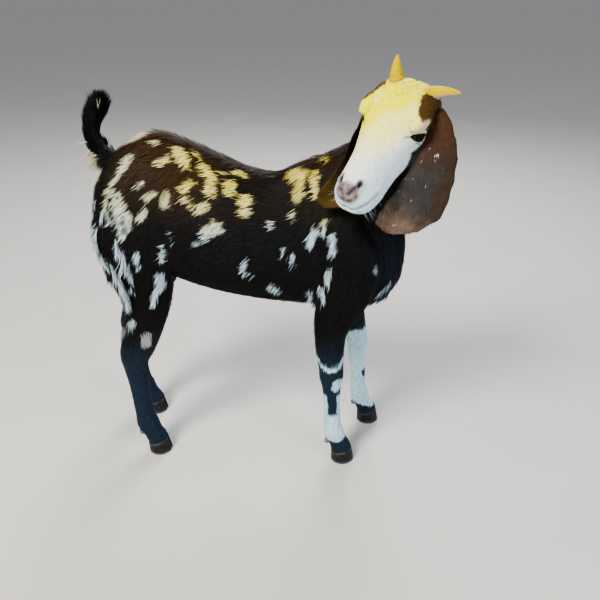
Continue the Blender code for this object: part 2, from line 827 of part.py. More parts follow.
def hornObject(name, route, grow, collection):
    """A short thorn along a bent line, from a round base to a point."""
    start, bend, end = (headPoint(place) for place in route)
    rings = []
    for step in range(hornRings):
        share = step / (hornRings - 1)
        centre = start.lerp(bend, share).lerp(bend.lerp(end, share), share)
        along = (bend.lerp(end, share) - start.lerp(bend, share)).normalized()
        radius = hornBaseRadius * (1 - share) ** 0.7 + 0.0008
        across = along.cross(forward).normalized()
        upward = along.cross(across).normalized()
        if step == 0:
            centre = centre - along * grow
        rings.append(
            ring(
                centre,
                across,
                upward,
                radius * 0.86 + grow,
                radius + grow,
                radius + grow,
                14,
            )
        )
    return loft(name, rings, collection)


def earRing(centre, across, outward, halfWidth, thickness, cup, count):
    """A bent leaf section: its outer face bulges and its inner face is hollow."""
    outer, inner = [], []
    for step in range(count + 1):
        share = -1 + 2 * step / count
        bulge = cup * halfWidth * (1 - share * share)
        half = thickness / 2 * math.sqrt(max(1 - share**4, 0.03))
        middle = centre + across * (halfWidth * share) + outward * bulge
        outer.append(middle + outward * half)
        inner.append(middle - outward * half)
    return outer + inner[::-1]


def earObject(name, route, outwardHint, grow, lastRing, collection):
    centres = [Vector(place) for place, _, _ in route]
    rings = []
    for step, (place, halfWidth, acrossHint) in enumerate(route[:lastRing]):
        before = centres[max(step - 1, 0)]
        after = centres[min(step + 1, len(centres) - 1)]
        along = (after - before).normalized()
        across = Vector(acrossHint).normalized()
        outward = across.cross(along).normalized()
        if outward.dot(outwardHint) < 0:
            outward = -outward
        thickness = earThickness + 0.009 * max(0, 1 - step / 2)
        cup = earCup * min(1, step / 2)
        centre = Vector(place)
        if step == 0:
            centre = centre - along * grow
        rings.append(
            earRing(
                centre,
                across,
                outward,
                halfWidth + grow,
                thickness + 2 * grow,
                cup,
                10,
            )
        )
    return loft(name, rings, collection)


ears = {
    "ear_left": (leftEar, Vector((0.6, -0.8, 0))),
    "ear_right": (rightEar, Vector((-0.8, -0.2, 0))),
}
horns = {"horn_left": leftHorn, "horn_right": rightHorn}
eyes = {"eye_left": 1, "eye_right": -1}


def eyeObject(name, side, grow, collection):
    radius = eyeRadius + grow / headScale
    return ballForm(name, eyePlace(side), (radius, radius, radius), collection, 16, 9)


def buildHead(forms, cutters):
    items = [headForm(forms), neckForm(forms)] + headMassForms(forms) + lidForms(forms)
    head = joined(items, "head")
    skinOver(head, headVoxel, headSmoothing)
    carveFace(head)
    thin(head, headTriangles)
    centre, normal = headCutPlane()
    plate(centre, normal, leftward, 0.075, 0.075, cutters)
    boolean(head, cutters, "DIFFERENCE")
    head = namePieces(splitApart(head), {"head": headPoint((0.09, 0, -0.045))})["head"]
    for name, (route, outward) in ears.items():
        earObject(name, route, outward, earGap, earRootRings, cutters)
    for name, route in horns.items():
        hornObject(name, route, gap, cutters)
    for name, side in eyes.items():
        eyeObject(name, side, gap, cutters)
    boolean(head, cutters, "DIFFERENCE")
    return keepLargest(head)


def clawRing(centre, halfLength, width, side, tilt):
    """Half a hoof's outline: a curved outer wall, a straight inner one and a blunt toe."""
    points = []
    for step in range(16):
        angle = 2 * math.pi * step / 16
        reach = halfLength * math.cos(angle)
        spread = math.sin(angle)
        across = width * spread if spread > 0 else 0.12 * width * spread
        toe = 1 - 0.25 * max(0, math.cos(angle)) ** 2
        rise = tilt * reach
        points.append(centre + Vector((reach, side * across * toe, rise)))
    return points if side > 0 else points[::-1]


def clawObject(foot, name, side, collection):
    coronet = legPoint(foot, coronetHeight)
    inner = side * (clawSplit + 0.12 * clawWidth)
    top = coronet + Vector((0, inner, 0)) - coronetNormal() * gap
    middle = coronet + Vector((clawForward * 0.5, inner, 0))
    middle.z = coronetHeight * 0.5
    sole = coronet + Vector((clawForward, inner, 0))
    sole.z = 0
    rings = [
        clawRing(sole, clawHalfLength, clawWidth, side, 0),
        clawRing(middle, clawHalfLength * 0.95, clawWidth * 0.98, side, coronetSlope * 0.5),
        clawRing(top, clawTopHalfLength, clawTopWidth, side, coronetSlope),
    ]
    return loft(name, rings, collection)


def dewclawObject(foot, name, side, grow, collection):
    """A small blunt horn behind the pastern."""
    place = legPoint(foot, dewclawHeight)
    centre = place + Vector((-dewclawBehind, side * dewclawAside, 0))
    mesh = bpy.data.meshes.new(name)
    shape = bmesh.new()
    bmesh.ops.create_uvsphere(shape, u_segments=7, v_segments=5, radius=1)
    for vert in shape.verts:
        x, y, z = vert.co
        radius = dewclawRadius + grow
        vert.co = centre + Vector((x * radius, y * radius * 0.85, z * radius * 1.15 - x * 0.001))
    shape.to_mesh(mesh)
    shape.free()
    return objectFrom(name, mesh, collection)


def buildFeet(nodes, parts, cutters):
    for foot in legs:
        lower = nodes[foot + "_lower"]
        for label, side in (("outer", 1), ("inner", -1)):
            outer = side * legs[foot][1]
            claw = f"{foot}_claw_{label}"
            nodes[claw] = clawObject(foot, claw, outer, parts)
            dewclaw = f"{foot}_dewclaw_{label}"
            nodes[dewclaw] = dewclawObject(foot, dewclaw, outer, 0, parts)
            dewclawObject(foot, "cut", outer, gap, cutters)
        boolean(lower, cutters, "DIFFERENCE")
        nodes[foot + "_lower"] = keepLargest(lower)


looks = {
    "claw": (hoofColour, 0.6),
    "horn": (hornColour, 0.6),
    "eye": (eyeColour, 0.1),
    "ear": (earColour, 0.8),
    "head": (faceColour, 0.8),
}


def materialFor(name):
    for word, (colour, roughness) in looks.items():
        if word in name:
            return makeMaterial(name + " surface", colour, roughness)
    return makeMaterial(name + " surface", coatColour, 0.8)


def finish(nodes, parts):
    for name, item in nodes.items():
        item.name = name
        item.data.name = name
        item.data.transform(Matrix.Translation(frameShift))
        for holder in list(item.users_collection):
            holder.objects.unlink(item)
        parts.objects.link(item)
        item.data.materials.clear()
        item.data.materials.append(materialFor(name))


def main():
    clearScene()
    parts = makeCollection("gujri goat")
    forms = makeCollection("forms")
    locks = makeCollection("locks")
    cutters = makeCollection("cutters")
    nodes = buildBody(forms, locks, cutters)
    nodes["head"] = buildHead(forms, cutters)
    for name, (route, outward) in ears.items():
        nodes[name] = earObject(name, route, outward, 0, len(route), parts)
    for name, route in horns.items():
        nodes[name] = hornObject(name, route, 0, parts)
    for name, side in eyes.items():
        nodes[name] = eyeObject(name, side, 0, parts)
    buildFeet(nodes, parts, cutters)
    finish(nodes, parts)
    for helpers in (forms, locks, cutters):
        helpers.hide_render = True


main()
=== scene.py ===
import math

import bmesh
import bpy
import numpy as np
from mathutils import Matrix, Vector, kdtree
from mathutils.bvhtree import BVHTree


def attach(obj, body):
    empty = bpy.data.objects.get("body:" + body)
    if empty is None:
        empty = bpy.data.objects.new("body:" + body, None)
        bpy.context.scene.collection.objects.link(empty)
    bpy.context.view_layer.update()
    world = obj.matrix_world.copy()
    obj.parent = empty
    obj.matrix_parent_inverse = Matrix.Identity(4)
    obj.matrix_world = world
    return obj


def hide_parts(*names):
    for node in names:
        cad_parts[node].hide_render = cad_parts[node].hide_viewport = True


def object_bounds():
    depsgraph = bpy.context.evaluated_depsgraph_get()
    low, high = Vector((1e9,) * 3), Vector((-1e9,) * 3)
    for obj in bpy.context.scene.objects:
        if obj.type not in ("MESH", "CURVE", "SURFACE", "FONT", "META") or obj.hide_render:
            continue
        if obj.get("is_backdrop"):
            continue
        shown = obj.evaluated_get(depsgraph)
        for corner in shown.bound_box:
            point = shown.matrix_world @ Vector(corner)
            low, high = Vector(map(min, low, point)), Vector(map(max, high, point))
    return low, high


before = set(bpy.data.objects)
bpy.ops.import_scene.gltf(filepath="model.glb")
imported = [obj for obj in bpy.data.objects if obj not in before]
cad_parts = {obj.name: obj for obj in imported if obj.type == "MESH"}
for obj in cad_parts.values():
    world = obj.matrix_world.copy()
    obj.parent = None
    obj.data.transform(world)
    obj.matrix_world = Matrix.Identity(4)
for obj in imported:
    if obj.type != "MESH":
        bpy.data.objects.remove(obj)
cadLow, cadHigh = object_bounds()

# Places below are in metres from a point on the floor between the feet; the frame's origin
# lies this far from it. +X is forward, +Y the goat's left, so the camera sees its right side.
shift = np.array([-0.019, 0.040, 0.0])

# Coat depth taken off the solids' sections
coatDepth = {"torso": 0.0046, "neck": 0.0042, "leg": 0.0013, "head": 0.0010}

# Torso stations: x, top, bottom, half width, share taken off the width at the top
torsoStations = (
    (-0.256, 0.530, 0.470, 0.030, 0.0),
    (-0.249, 0.560, 0.445, 0.052, 0.05),
    (-0.222, 0.590, 0.425, 0.070, 0.15),
    (-0.185, 0.617, 0.407, 0.081, 0.25),
    (-0.140, 0.631, 0.386, 0.086, 0.30),
    (-0.090, 0.616, 0.366, 0.088, 0.30),
    (-0.040, 0.594, 0.354, 0.093, 0.28),
    (0.010, 0.574, 0.346, 0.095, 0.25),
    (0.055, 0.569, 0.340, 0.090, 0.28),
    (0.090, 0.584, 0.336, 0.083, 0.35),
    (0.130, 0.600, 0.330, 0.076, 0.40),
    (0.170, 0.600, 0.325, 0.072, 0.30),
    (0.210, 0.575, 0.325, 0.066, 0.15),
    (0.245, 0.535, 0.340, 0.053, 0.0),
    (0.268, 0.490, 0.370, 0.036, 0.0),
    (0.275, 0.455, 0.400, 0.018, 0.0),
)
torsoWidest = 0.45

# Neck stations: x, y, z, half depth, half width, turn of its left side about the vertical
neckStations = (
    (0.120, 0.000, 0.490, 0.082, 0.060, 0),
    (0.165, 0.000, 0.528, 0.078, 0.056, 0),
    (0.204, -0.003, 0.560, 0.068, 0.048, -15),
    (0.231, -0.014, 0.590, 0.058, 0.041, -40),
    (0.247, -0.027, 0.618, 0.046, 0.036, -70),
    (0.256, -0.041, 0.643, 0.041, 0.035, -100),
    (0.259, -0.054, 0.663, 0.036, 0.034, -115),
)

# Leg stations from the top down: x, z, half depth, half width, y from the stance
stance = 0.062
foreTop = (
    (0.120, 0.542, 0.024, 0.012, -0.022),
    (0.146, 0.500, 0.045, 0.025, -0.009),
    (0.178, 0.440, 0.052, 0.033, -0.001),
)
rightFore = (
    (0.174, 0.390, 0.049, 0.034, 0.0),
    (0.160, 0.347, 0.041, 0.031, 0.0),
    (0.150, 0.300, 0.0295, 0.025, 0.0),
    (0.149, 0.255, 0.0260, 0.022, 0.0),
    (0.152, 0.222, 0.0235, 0.021, 0.0),
    (0.153, 0.200, 0.0230, 0.022, 0.0),
    (0.154, 0.175, 0.0185, 0.0185, 0.0),
    (0.156, 0.130, 0.0165, 0.0160, 0.0),
    (0.158, 0.090, 0.0175, 0.0165, 0.0),
    (0.1615, 0.066, 0.0205, 0.0195, 0.0),
    (0.1690, 0.046, 0.0185, 0.0180, 0.0),
    (0.1760, 0.030, 0.0200, 0.0200, 0.0),
    (0.1775, 0.018, 0.0190, 0.0190, 0.0),
)
leftFore = (
    (0.180, 0.390, 0.049, 0.034, 0.0),
    (0.175, 0.347, 0.041, 0.031, 0.0),
    (0.180, 0.300, 0.0295, 0.025, 0.0),
    (0.190, 0.255, 0.0260, 0.022, 0.0),
    (0.198, 0.222, 0.0235, 0.021, 0.0),
    (0.2030, 0.200, 0.0230, 0.022, 0.0),
    (0.2035, 0.175, 0.0190, 0.0185, 0.0),
    (0.2070, 0.130, 0.0165, 0.0160, 0.0),
    (0.2100, 0.090, 0.0175, 0.0165, 0.0),
    (0.2140, 0.066, 0.0205, 0.0195, 0.0),
    (0.2220, 0.046, 0.0185, 0.0180, 0.0),
    (0.2300, 0.030, 0.0200, 0.0200, 0.0),
    (0.2315, 0.018, 0.0190, 0.0190, 0.0),
)
hindTop = (
    (-0.140, 0.588, 0.020, 0.012, -0.026),
    (-0.163, 0.545, 0.051, 0.028, -0.014),
    (-0.179, 0.480, 0.072, 0.036, -0.004),
)
rightHind = (
    (-0.179, 0.425, 0.065, 0.036, 0.0),
    (-0.176, 0.385, 0.054, 0.034, 0.0),
    (-0.175, 0.352, 0.043, 0.031, 0.0),
    (-0.179, 0.322, 0.035, 0.027, 0.0),
    (-0.193, 0.286, 0.0345, 0.024, 0.0),
    (-0.204, 0.256, 0.0320, 0.0215, 0.0),
    (-0.2145, 0.230, 0.0285, 0.0200, 0.0),
    (-0.2165, 0.205, 0.0240, 0.0195, 0.0),
    (-0.2155, 0.175, 0.0210, 0.0175, 0.0),
    (-0.2150, 0.130, 0.0190, 0.0160, 0.0),
    (-0.2135, 0.090, 0.0195, 0.0165, 0.0),
    (-0.2105, 0.068, 0.0225, 0.0195, 0.0),
    (-0.2030, 0.048, 0.0200, 0.0180, 0.0),
    (-0.1950, 0.030, 0.0205, 0.0200, 0.0),
    (-0.1935, 0.018, 0.0190, 0.0190, 0.0),
)
leftHind = (
    (-0.184, 0.425, 0.063, 0.036, 0.0),
    (-0.186, 0.385, 0.052, 0.034, 0.0),
    (-0.193, 0.352, 0.042, 0.031, 0.0),
    (-0.205, 0.320, 0.035, 0.027, 0.0),
    (-0.226, 0.284, 0.0345, 0.024, 0.0),
    (-0.243, 0.254, 0.0320, 0.0215, 0.0),
    (-0.2570, 0.228, 0.0285, 0.0200, 0.0),
    (-0.2610, 0.204, 0.0240, 0.0195, 0.0),
    (-0.2610, 0.175, 0.0210, 0.0175, 0.0),
    (-0.2605, 0.130, 0.0190, 0.0160, 0.0),
    (-0.2590, 0.090, 0.0195, 0.0165, 0.0),
    (-0.2555, 0.068, 0.0225, 0.0195, 0.0),
    (-0.2470, 0.048, 0.0200, 0.0180, 0.0),
    (-0.2380, 0.030, 0.0205, 0.0200, 0.0),
    (-0.2365, 0.018, 0.0190, 0.0190, 0.0),
)
legs = {
    "foreleg_right": (foreTop + rightFore, -1),
    "foreleg_left": (foreTop + leftFore, 1),
    "hindleg_right": (hindTop + rightHind, -1),
    "hindleg_left": (hindTop + leftHind, 1),
}

# Tail stations under the brush: x, z, half depth, half width
tailStations = (
    (-0.200, 0.560, 0.018, 0.018),
    (-0.228, 0.582, 0.016, 0.017),
    (-0.2480, 0.605, 0.0100, 0.0110),
    (-0.2500, 0.628, 0.0090, 0.0095),
    (-0.2435, 0.646, 0.0085, 0.0085),
    (-0.2340, 0.660, 0.0060, 0.0060),
    (-0.2280, 0.668, 0.0030, 0.0030),
)

# Head frame: origin at the poll, then the muzzle's way, the goat's left and the crown's way
headScale = 0.96
poll = np.array([0.2589, -0.0716, 0.7160])
forward = np.array([-0.563, -0.685, -0.461])
forward /= np.linalg.norm(forward)
leftward = np.array([0.814, -0.556, -0.169])
leftward -= forward * (leftward @ forward)
leftward /= np.linalg.norm(leftward)
crownward = np.cross(forward, leftward)
headAxes = np.array([forward, leftward, crownward])

# Head stations: forward, top, widest level, bottom, half width, top pinch
headStations = (
    (-0.018, -0.024, -0.040, -0.056, 0.016, 0.0),
    (-0.009, -0.004, -0.036, -0.082, 0.035, 0.0),
    (0.006, 0.009, -0.030, -0.095, 0.044, -0.05),
    (0.024, 0.013, -0.028, -0.102, 0.048, -0.10),
    (0.044, 0.011, -0.030, -0.105, 0.0500, -0.14),
    (0.064, 0.005, -0.033, -0.103, 0.0470, -0.16),
    (0.084, -0.003, -0.041, -0.101, 0.0425, -0.10),
    (0.104, -0.010, -0.051, -0.100, 0.0380, 0.02),
    (0.124, -0.017, -0.060, -0.101, 0.0345, 0.16),
    (0.144, -0.024, -0.066, -0.102, 0.0330, 0.25),
    (0.162, -0.031, -0.069, -0.103, 0.0310, 0.25),
    (0.176, -0.038, -0.070, -0.101, 0.0285, 0.22),
    (0.186, -0.046, -0.071, -0.095, 0.0225, 0.15),
    (0.192, -0.055, -0.071, -0.085, 0.0130, 0.0),
)
headMasses = (
    ((0.054, 0.042, -0.007), (0.027, 0.014, 0.013)),
    ((0.034, 0.032, -0.006), (0.030, 0.019, 0.017)),
    ((0.056, 0.023, -0.074), (0.027, 0.012, 0.025)),
    ((0.170, 0.012, -0.052), (0.013, 0.012, 0.013)),
    ((0.026, 0.041, -0.033), (0.015, 0.012, 0.015)),
)
eyeCentre = (0.064, 0.0375, -0.0270)
eyeRadius = 0.0130
lidHalfLength = 0.0136
lidHalfHeight = 0.0052
lidArch = (1.45, 0.85)
lidTilt = 28
lidTurn = 22

mouthLine = (
    (0.2020, -0.0800),
    (0.1915, -0.0780),
    (0.1860, -0.0728),
    (0.1710, -0.0702),
    (0.1480, -0.0680),
)
nostrilSlit = (
    (0.1880, 0.0060, -0.0520),
    (0.1830, 0.0108, -0.0475),
    (0.1765, 0.0145, -0.0445),
    (0.1700, 0.0150, -0.0425),
)


# Rows in the head frame: the way to the eye's front corner, up across the eye, and out of it
def lidAxes(way):
    tilt, turn = math.radians(lidTilt), math.radians(lidTurn)
    front = (
        math.cos(turn) * math.cos(tilt),
        -way * math.sin(turn) * math.cos(tilt),
        math.sin(tilt),
    )
    upward = (
        -math.cos(turn) * math.sin(tilt),
        way * math.sin(turn) * math.sin(tilt),
        math.cos(tilt),
    )
    return np.array([front, upward, (math.sin(turn), way * math.cos(turn), 0.0)])


# 1 on the almond of the lids, less inside it. The grow values widen its length and its height.
def lidInside(across, upright, growLength, growHeight):
    arch = np.where(upright > 0, lidArch[0], lidArch[1]) * lidHalfHeight
    return np.hypot(across / (lidHalfLength * growLength), upright / (arch * growHeight))


def eyePlace(way):
    return np.array([eyeCentre[0], way * eyeCentre[1], eyeCentre[2]])


# Places seen from an eye: along it, up across it and out of it
def toEye(local, way):
    return ((local - eyePlace(way)) @ lidAxes(way).T).T


# Small tools


def say(*words):
    print("goat:", *words, flush=True)


# Rows of numbers with more rows between them on a smooth line.
def smoothRows(rows, parts):
    rows = np.array(rows, float)
    held = np.vstack([2 * rows[0] - rows[1], rows, 2 * rows[-1] - rows[-2]])
    made = []
    for at in range(len(rows) - 1):
        a, b, c, d = held[at : at + 4]
        for step in range(parts):
            t = step / parts
            bend = (2 * a - 5 * b + 4 * c - d) * t * t + (3 * b - a - 3 * c + d) * t**3
            made.append(0.5 * (2 * b + (c - a) * t + bend))
    made.append(rows[-1])
    return np.array(made)


def unit(vectors):
    size = np.linalg.norm(vectors, axis=-1, keepdims=True)
    return vectors / np.maximum(size, 1e-9)


def ease(values, low, high):
    share = np.clip((values - low) / (high - low), 0, 1)
    return share * share * (3 - 2 * share)


# Smooth random values from -1 to 1, one cell every grain metres.
def noise(points, grain, seed):
    scaled = points / grain + 1000
    base = np.floor(scaled).astype(np.int64)
    share = scaled - base
    share = share * share * (3 - 2 * share)
    total = np.zeros(len(points))
    for corner in range(8):
        step = np.array([corner & 1, corner >> 1 & 1, corner >> 2 & 1])
        cell = base + step
        key = cell[:, 0] * 73856093 ^ cell[:, 1] * 19349663 ^ cell[:, 2] * 83492791
        key = (key ^ (seed * 2654435761)) & 0xFFFFFFFF
        key = (key ^ (key >> 15)) * 2246822519 & 0xFFFFFFFF
        key = (key ^ (key >> 13)) * 3266489917 & 0xFFFFFFFF
        value = (key >> 8 & 0xFFFF) / 32767.5 - 1
        total += value * np.prod(np.where(step, share, 1 - share), axis=1)
    return total


def lineDistance(points, line):
    best = np.full(len(points), np.inf)
    for start, end in zip(line, line[1:]):
        start, end = np.array(start, float), np.array(end, float)
        way = end - start
        share = np.clip((points - start) @ way / max(way @ way, 1e-12), 0, 1)
        apart = np.linalg.norm(points - start - share[:, None] * way, axis=1)
        best = np.minimum(best, apart)
    return best


# The distance in a plane from points, by their two coordinates, to a line
def flatDistance(first, second, line):
    return lineDistance(np.stack([first, second], axis=1), line)


# For each point, the number of the nearest of the others.
def nearestOf(points, others):
    tree = kdtree.KDTree(len(others))
    for number, other in enumerate(others):
        tree.insert(other, number)
    tree.balance()
    return np.array([tree.find(point)[1] for point in points])


# Moves each colour its share of the way to the aim.
def blend(colour, share, aim):
    colour += share[:, None] * (np.array(aim) - colour)


# One colour for every point
def evenColour(colour, count):
    return np.tile(np.array(colour), (count, 1))


# 1 in the middle, falling off smoothly over the width
def hump(apart, width):
    return np.exp(-((apart / width) ** 2))


# The part of each way that runs along the surface
def flattened(ways, normals, share=1.0):
    return unit(ways - share * normals * np.sum(ways * normals, axis=1, keepdims=True))


def turns(count):
    return 2 * np.pi * np.arange(count) / count


def headPoint(local):
    return poll + np.array(local) @ headAxes * headScale


def toHead(points):
    return (points - poll) @ headAxes.T / headScale


def ringPoints(centre, across, upward, halfAcross, above, below, count, pinch=0.0, power=1.0):
    angle = turns(count)
    side, rise = np.cos(angle), np.sin(angle)
    wide = np.sign(side) * np.abs(side) ** power * halfAcross * (1 - pinch * rise)
    tall = np.sign(rise) * np.abs(rise) ** power * np.where(rise > 0, above, below)
    return centre + wide[:, None] * across + tall[:, None] * upward


# A new object with its data, in the scene
def linked(name, data):
    made = bpy.data.objects.new(name, data)
    bpy.context.scene.collection.objects.link(made)
    return made


def smoothShade(item):
    item.data.polygons.foreach_set("use_smooth", [True] * len(item.data.polygons))


def objectOf(name, points, faces):
    mesh = bpy.data.meshes.new(name)
    mesh.from_pydata([tuple(point) for point in points], [], faces)
    mesh.update()
    return linked(name, mesh)


def outward(item):
    shape = bmesh.new()
    shape.from_mesh(item.data)
    bmesh.ops.remove_doubles(shape, verts=shape.verts, dist=1e-6)
    bmesh.ops.recalc_face_normals(shape, faces=shape.faces)
    shape.to_mesh(item.data)
    shape.free()
    return item


# A closed surface through rings of alike points, with a point in the middle of each end.
def loft(name, rings):
    rings = [np.array(ring) for ring in rings]
    count = len(rings[0])
    points = np.vstack(rings + [rings[0].mean(axis=0), rings[-1].mean(axis=0)])
    faces = []
    for row in range(len(rings) - 1):
        for step in range(count):
            after = (step + 1) % count
            low, high = row * count, (row + 1) * count
            faces.append((low + step, low + after, high + after, high + step))
    first, last = len(points) - 2, len(points) - 1
    top = (len(rings) - 1) * count
    for step in range(count):
        after = (step + 1) % count
        faces.append((first, after, step))
        faces.append((last, top + step, top + after))
    item = outward(objectOf(name, points, faces))
    smoothShade(item)
    return item


# Rings square to a line of centres. Each station: x, y, z, half depth, half width.
def tube(stations, count, side, depthPower=1.0):
    rows = np.array(stations)
    centres = rows[:, :3]
    along = unit(np.gradient(centres, axis=0))
    rings = []
    for at, row in enumerate(rows):
        depthWay = unit(np.cross(along[at], side))
        across = unit(np.cross(depthWay, along[at]))
        sizes = (row[4], row[3], row[3], count, 0, depthPower)
        rings.append(ringPoints(centres[at], across, depthWay, *sizes))
    return rings


def joined(items, name):
    bpy.ops.object.select_all(action="DESELECT")
    for item in items:
        item.select_set(True)
    bpy.context.view_layer.objects.active = items[0]
    bpy.ops.object.join()
    items[0].name = name
    return items[0]


# The object with every modifier in its mesh.
def settle(item):
    bpy.context.view_layer.update()
    graph = bpy.context.evaluated_depsgraph_get()
    mesh = bpy.data.meshes.new_from_object(item.evaluated_get(graph))
    item.modifiers.clear()
    item.data = mesh
    return item


def pointsOf(item):
    points = np.empty(len(item.data.vertices) * 3)
    item.data.vertices.foreach_get("co", points)
    return points.reshape(-1, 3)


def normalsOf(item):
    normals = np.empty(len(item.data.vertices) * 3)
    item.data.vertices.foreach_get("normal", normals)
    return normals.reshape(-1, 3)


def setPoints(item, points):
    item.data.vertices.foreach_set("co", points.astype(np.float32).ravel())
    item.data.update()


# A colour for each point, linear.
def paint(item, colours, name="coat"):
    layer = item.data.color_attributes.new(name, "FLOAT_COLOR", "POINT")
    full = np.ones((len(colours), 4), np.float32)
    full[:, :3] = colours
    layer.data.foreach_set("color", full.ravel())


def place(item, replaced):
    setPoints(item, pointsOf(item) + shift)
    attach(item, "root")
    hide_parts(*replaced)


# Paints a piece, gives it its material and places it.
def dress(item, colour, material, slotName, *replaced):
    paint(item, np.clip(colour, 0, 1))
    item.data.materials.append(material)
    place(item, replaced)


# Rings of points on an ellipsoid, from its top down; a power under 1 makes it blunter.
def ballRings(centre, radii, around, up, power=1.0):
    rings = []
    angle = turns(around)
    for row in range(1, up):
        lift = math.pi * row / up
        wide = math.sin(lift) ** power
        x = radii[0] * wide * np.cos(angle)
        y = radii[1] * wide * np.sin(angle)
        z = np.full(around, radii[2] * math.cos(lift))
        rings.append(centre + np.stack([x, y, z], axis=1))
    return rings


# An ellipsoid in the head frame.
def ball(name, centre, radii, around=32, up=18):
    return loft(name, [headPoint(ring) for ring in ballRings(centre, radii, around, up)])


# Materials


def shaderOf(name):
    material = bpy.data.materials.new(name)
    material.use_nodes = True
    nodes = material.node_tree.nodes
    return material, nodes, material.node_tree.links, nodes["Principled BSDF"]


def node(nodes, kind, **values):
    made = nodes.new(kind)
    for key, value in values.items():
        if key in made.inputs:
            made.inputs[key].default_value = value
        else:
            setattr(made, key, value)
    return made


# Noise on Object coordinates, drawn out by the stretch.
def noiseInto(nodes, links, scale, stretch=(1, 1, 1), turn=(0, 0, 0)):
    where = nodes.new("ShaderNodeTexCoord")
    mapping = nodes.new("ShaderNodeMapping")
    mapping.inputs["Scale"].default_value = stretch
    mapping.inputs["Rotation"].default_value = turn
    texture = node(nodes, "ShaderNodeTexNoise", Scale=scale, Detail=4)
    links.new(where.outputs["Object"], mapping.inputs["Vector"])
    links.new(mapping.outputs["Vector"], texture.inputs["Vector"])
    return texture.outputs["Fac"]


# Two colours mixed by a socket; each is a value or a socket.
def mixed(nodes, links, share, first, second):
    mix = node(nodes, "ShaderNodeMix", data_type="RGBA")
    for at, value in ((0, share), (6, first), (7, second)):
        if isinstance(value, tuple):
            mix.inputs[at].default_value = value
        else:
            links.new(value, mix.inputs[at])
    return mix.outputs[2]


# A value between 0.3 and 0.7 spread over low to high.
def ranged(nodes, links, value, low, high):
    ends = {"From Min": 0.3, "From Max": 0.7, "To Min": low, "To Max": high}
    spread = node(nodes, "ShaderNodeMapRange", **ends)
    links.new(value, spread.inputs["Value"])
    return spread.outputs["Result"]


def bumpFrom(nodes, links, height, strength, distance):
    bump = node(nodes, "ShaderNodeBump", Strength=strength, Distance=distance)
    links.new(height, bump.inputs["Height"])
    return bump.outputs["Normal"]


# The coat attribute, lighter and darker by a socket.
def shadedCoat(nodes, links, light):
    coat = node(nodes, "ShaderNodeAttribute", attribute_name="coat")
    scaled = node(nodes, "ShaderNodeVectorMath", operation="SCALE")
    links.new(coat.outputs["Color"], scaled.inputs[0])
    links.new(light, scaled.inputs["Scale"])
    return scaled.outputs[0]


# Roughness is one value or a range that the grain spreads over.
def setShine(nodes, links, shader, look, grain):
    if isinstance(look["roughness"], tuple):
        links.new(ranged(nodes, links, grain, *look["roughness"]), shader.inputs["Roughness"])
    else:
        shader.inputs["Roughness"].default_value = look["roughness"]
    shader.inputs["Specular IOR Level"].default_value = look["specular"]


# A material with the coat attribute's colour, shaded and roughened by one grain of noise.
def coatedMaterial(name, look):
    material, nodes, links, shader = shaderOf(name)
    grain = noiseInto(nodes, links, look["grain"], look.get("stretch", (1, 1, 1)))
    light = ranged(nodes, links, grain, *look["light"])
    links.new(shadedCoat(nodes, links, light), shader.inputs["Base Color"])
    if "bump" in look:
        links.new(bumpFrom(nodes, links, grain, *look["bump"]), shader.inputs["Normal"])
    setShine(nodes, links, shader, look, grain)
    return material


hairLook = {"grain": 420, "light": (0.80, 1.16), "roughness": (0.50, 0.64), "specular": 0.14}
hairMottle = {"grain": 45, "light": (0.88, 1.10)}


# Colour from the coat attribute, with fine differences from hair to hair.
def hairMaterial():
    material, nodes, links, shader = shaderOf("coat hair")
    fine = noiseInto(nodes, links, hairLook["grain"])
    wide = noiseInto(nodes, links, hairMottle["grain"])
    factor = node(nodes, "ShaderNodeMath", operation="MULTIPLY")
    links.new(ranged(nodes, links, fine, *hairLook["light"]), factor.inputs[0])
    links.new(ranged(nodes, links, wide, *hairMottle["light"]), factor.inputs[1])
    links.new(shadedCoat(nodes, links, factor.outputs[0]), shader.inputs["Base Color"])
    setShine(nodes, links, shader, hairLook, fine)
    return material


skinLook = {
    "grain": 260,
    "light": (0.78, 1.14),
    "bump": (0.55, 0.0012),
    "roughness": 0.62,
    "specular": 0.12,
}


# Short hair as streaks of bump that run down the body and along the head.
def skinMaterial():
    material, nodes, links, shader = shaderOf("skin")
    grain = skinLook["grain"]
    turn = Matrix([list(row) for row in headAxes]).to_euler()
    body = noiseInto(nodes, links, grain, (1, 1, 0.16))
    head = noiseInto(nodes, links, grain * 1.6, (0.2, 1, 1), tuple(turn))
    zone = node(nodes, "ShaderNodeAttribute", attribute_name="zone")
    split = nodes.new("ShaderNodeSeparateColor")
    links.new(zone.outputs["Color"], split.inputs[0])
    choice = nodes.new("ShaderNodeMix")
    for socket, value in (("Factor", split.outputs[0]), ("A", body), ("B", head)):
        links.new(value, choice.inputs[socket])
    streaks = choice.outputs["Result"]
    light = ranged(nodes, links, streaks, *skinLook["light"])
    links.new(shadedCoat(nodes, links, light), shader.inputs["Base Color"])
    links.new(bumpFrom(nodes, links, streaks, *skinLook["bump"]), shader.inputs["Normal"])
    setShine(nodes, links, shader, skinLook, streaks)
    return material


# Markings

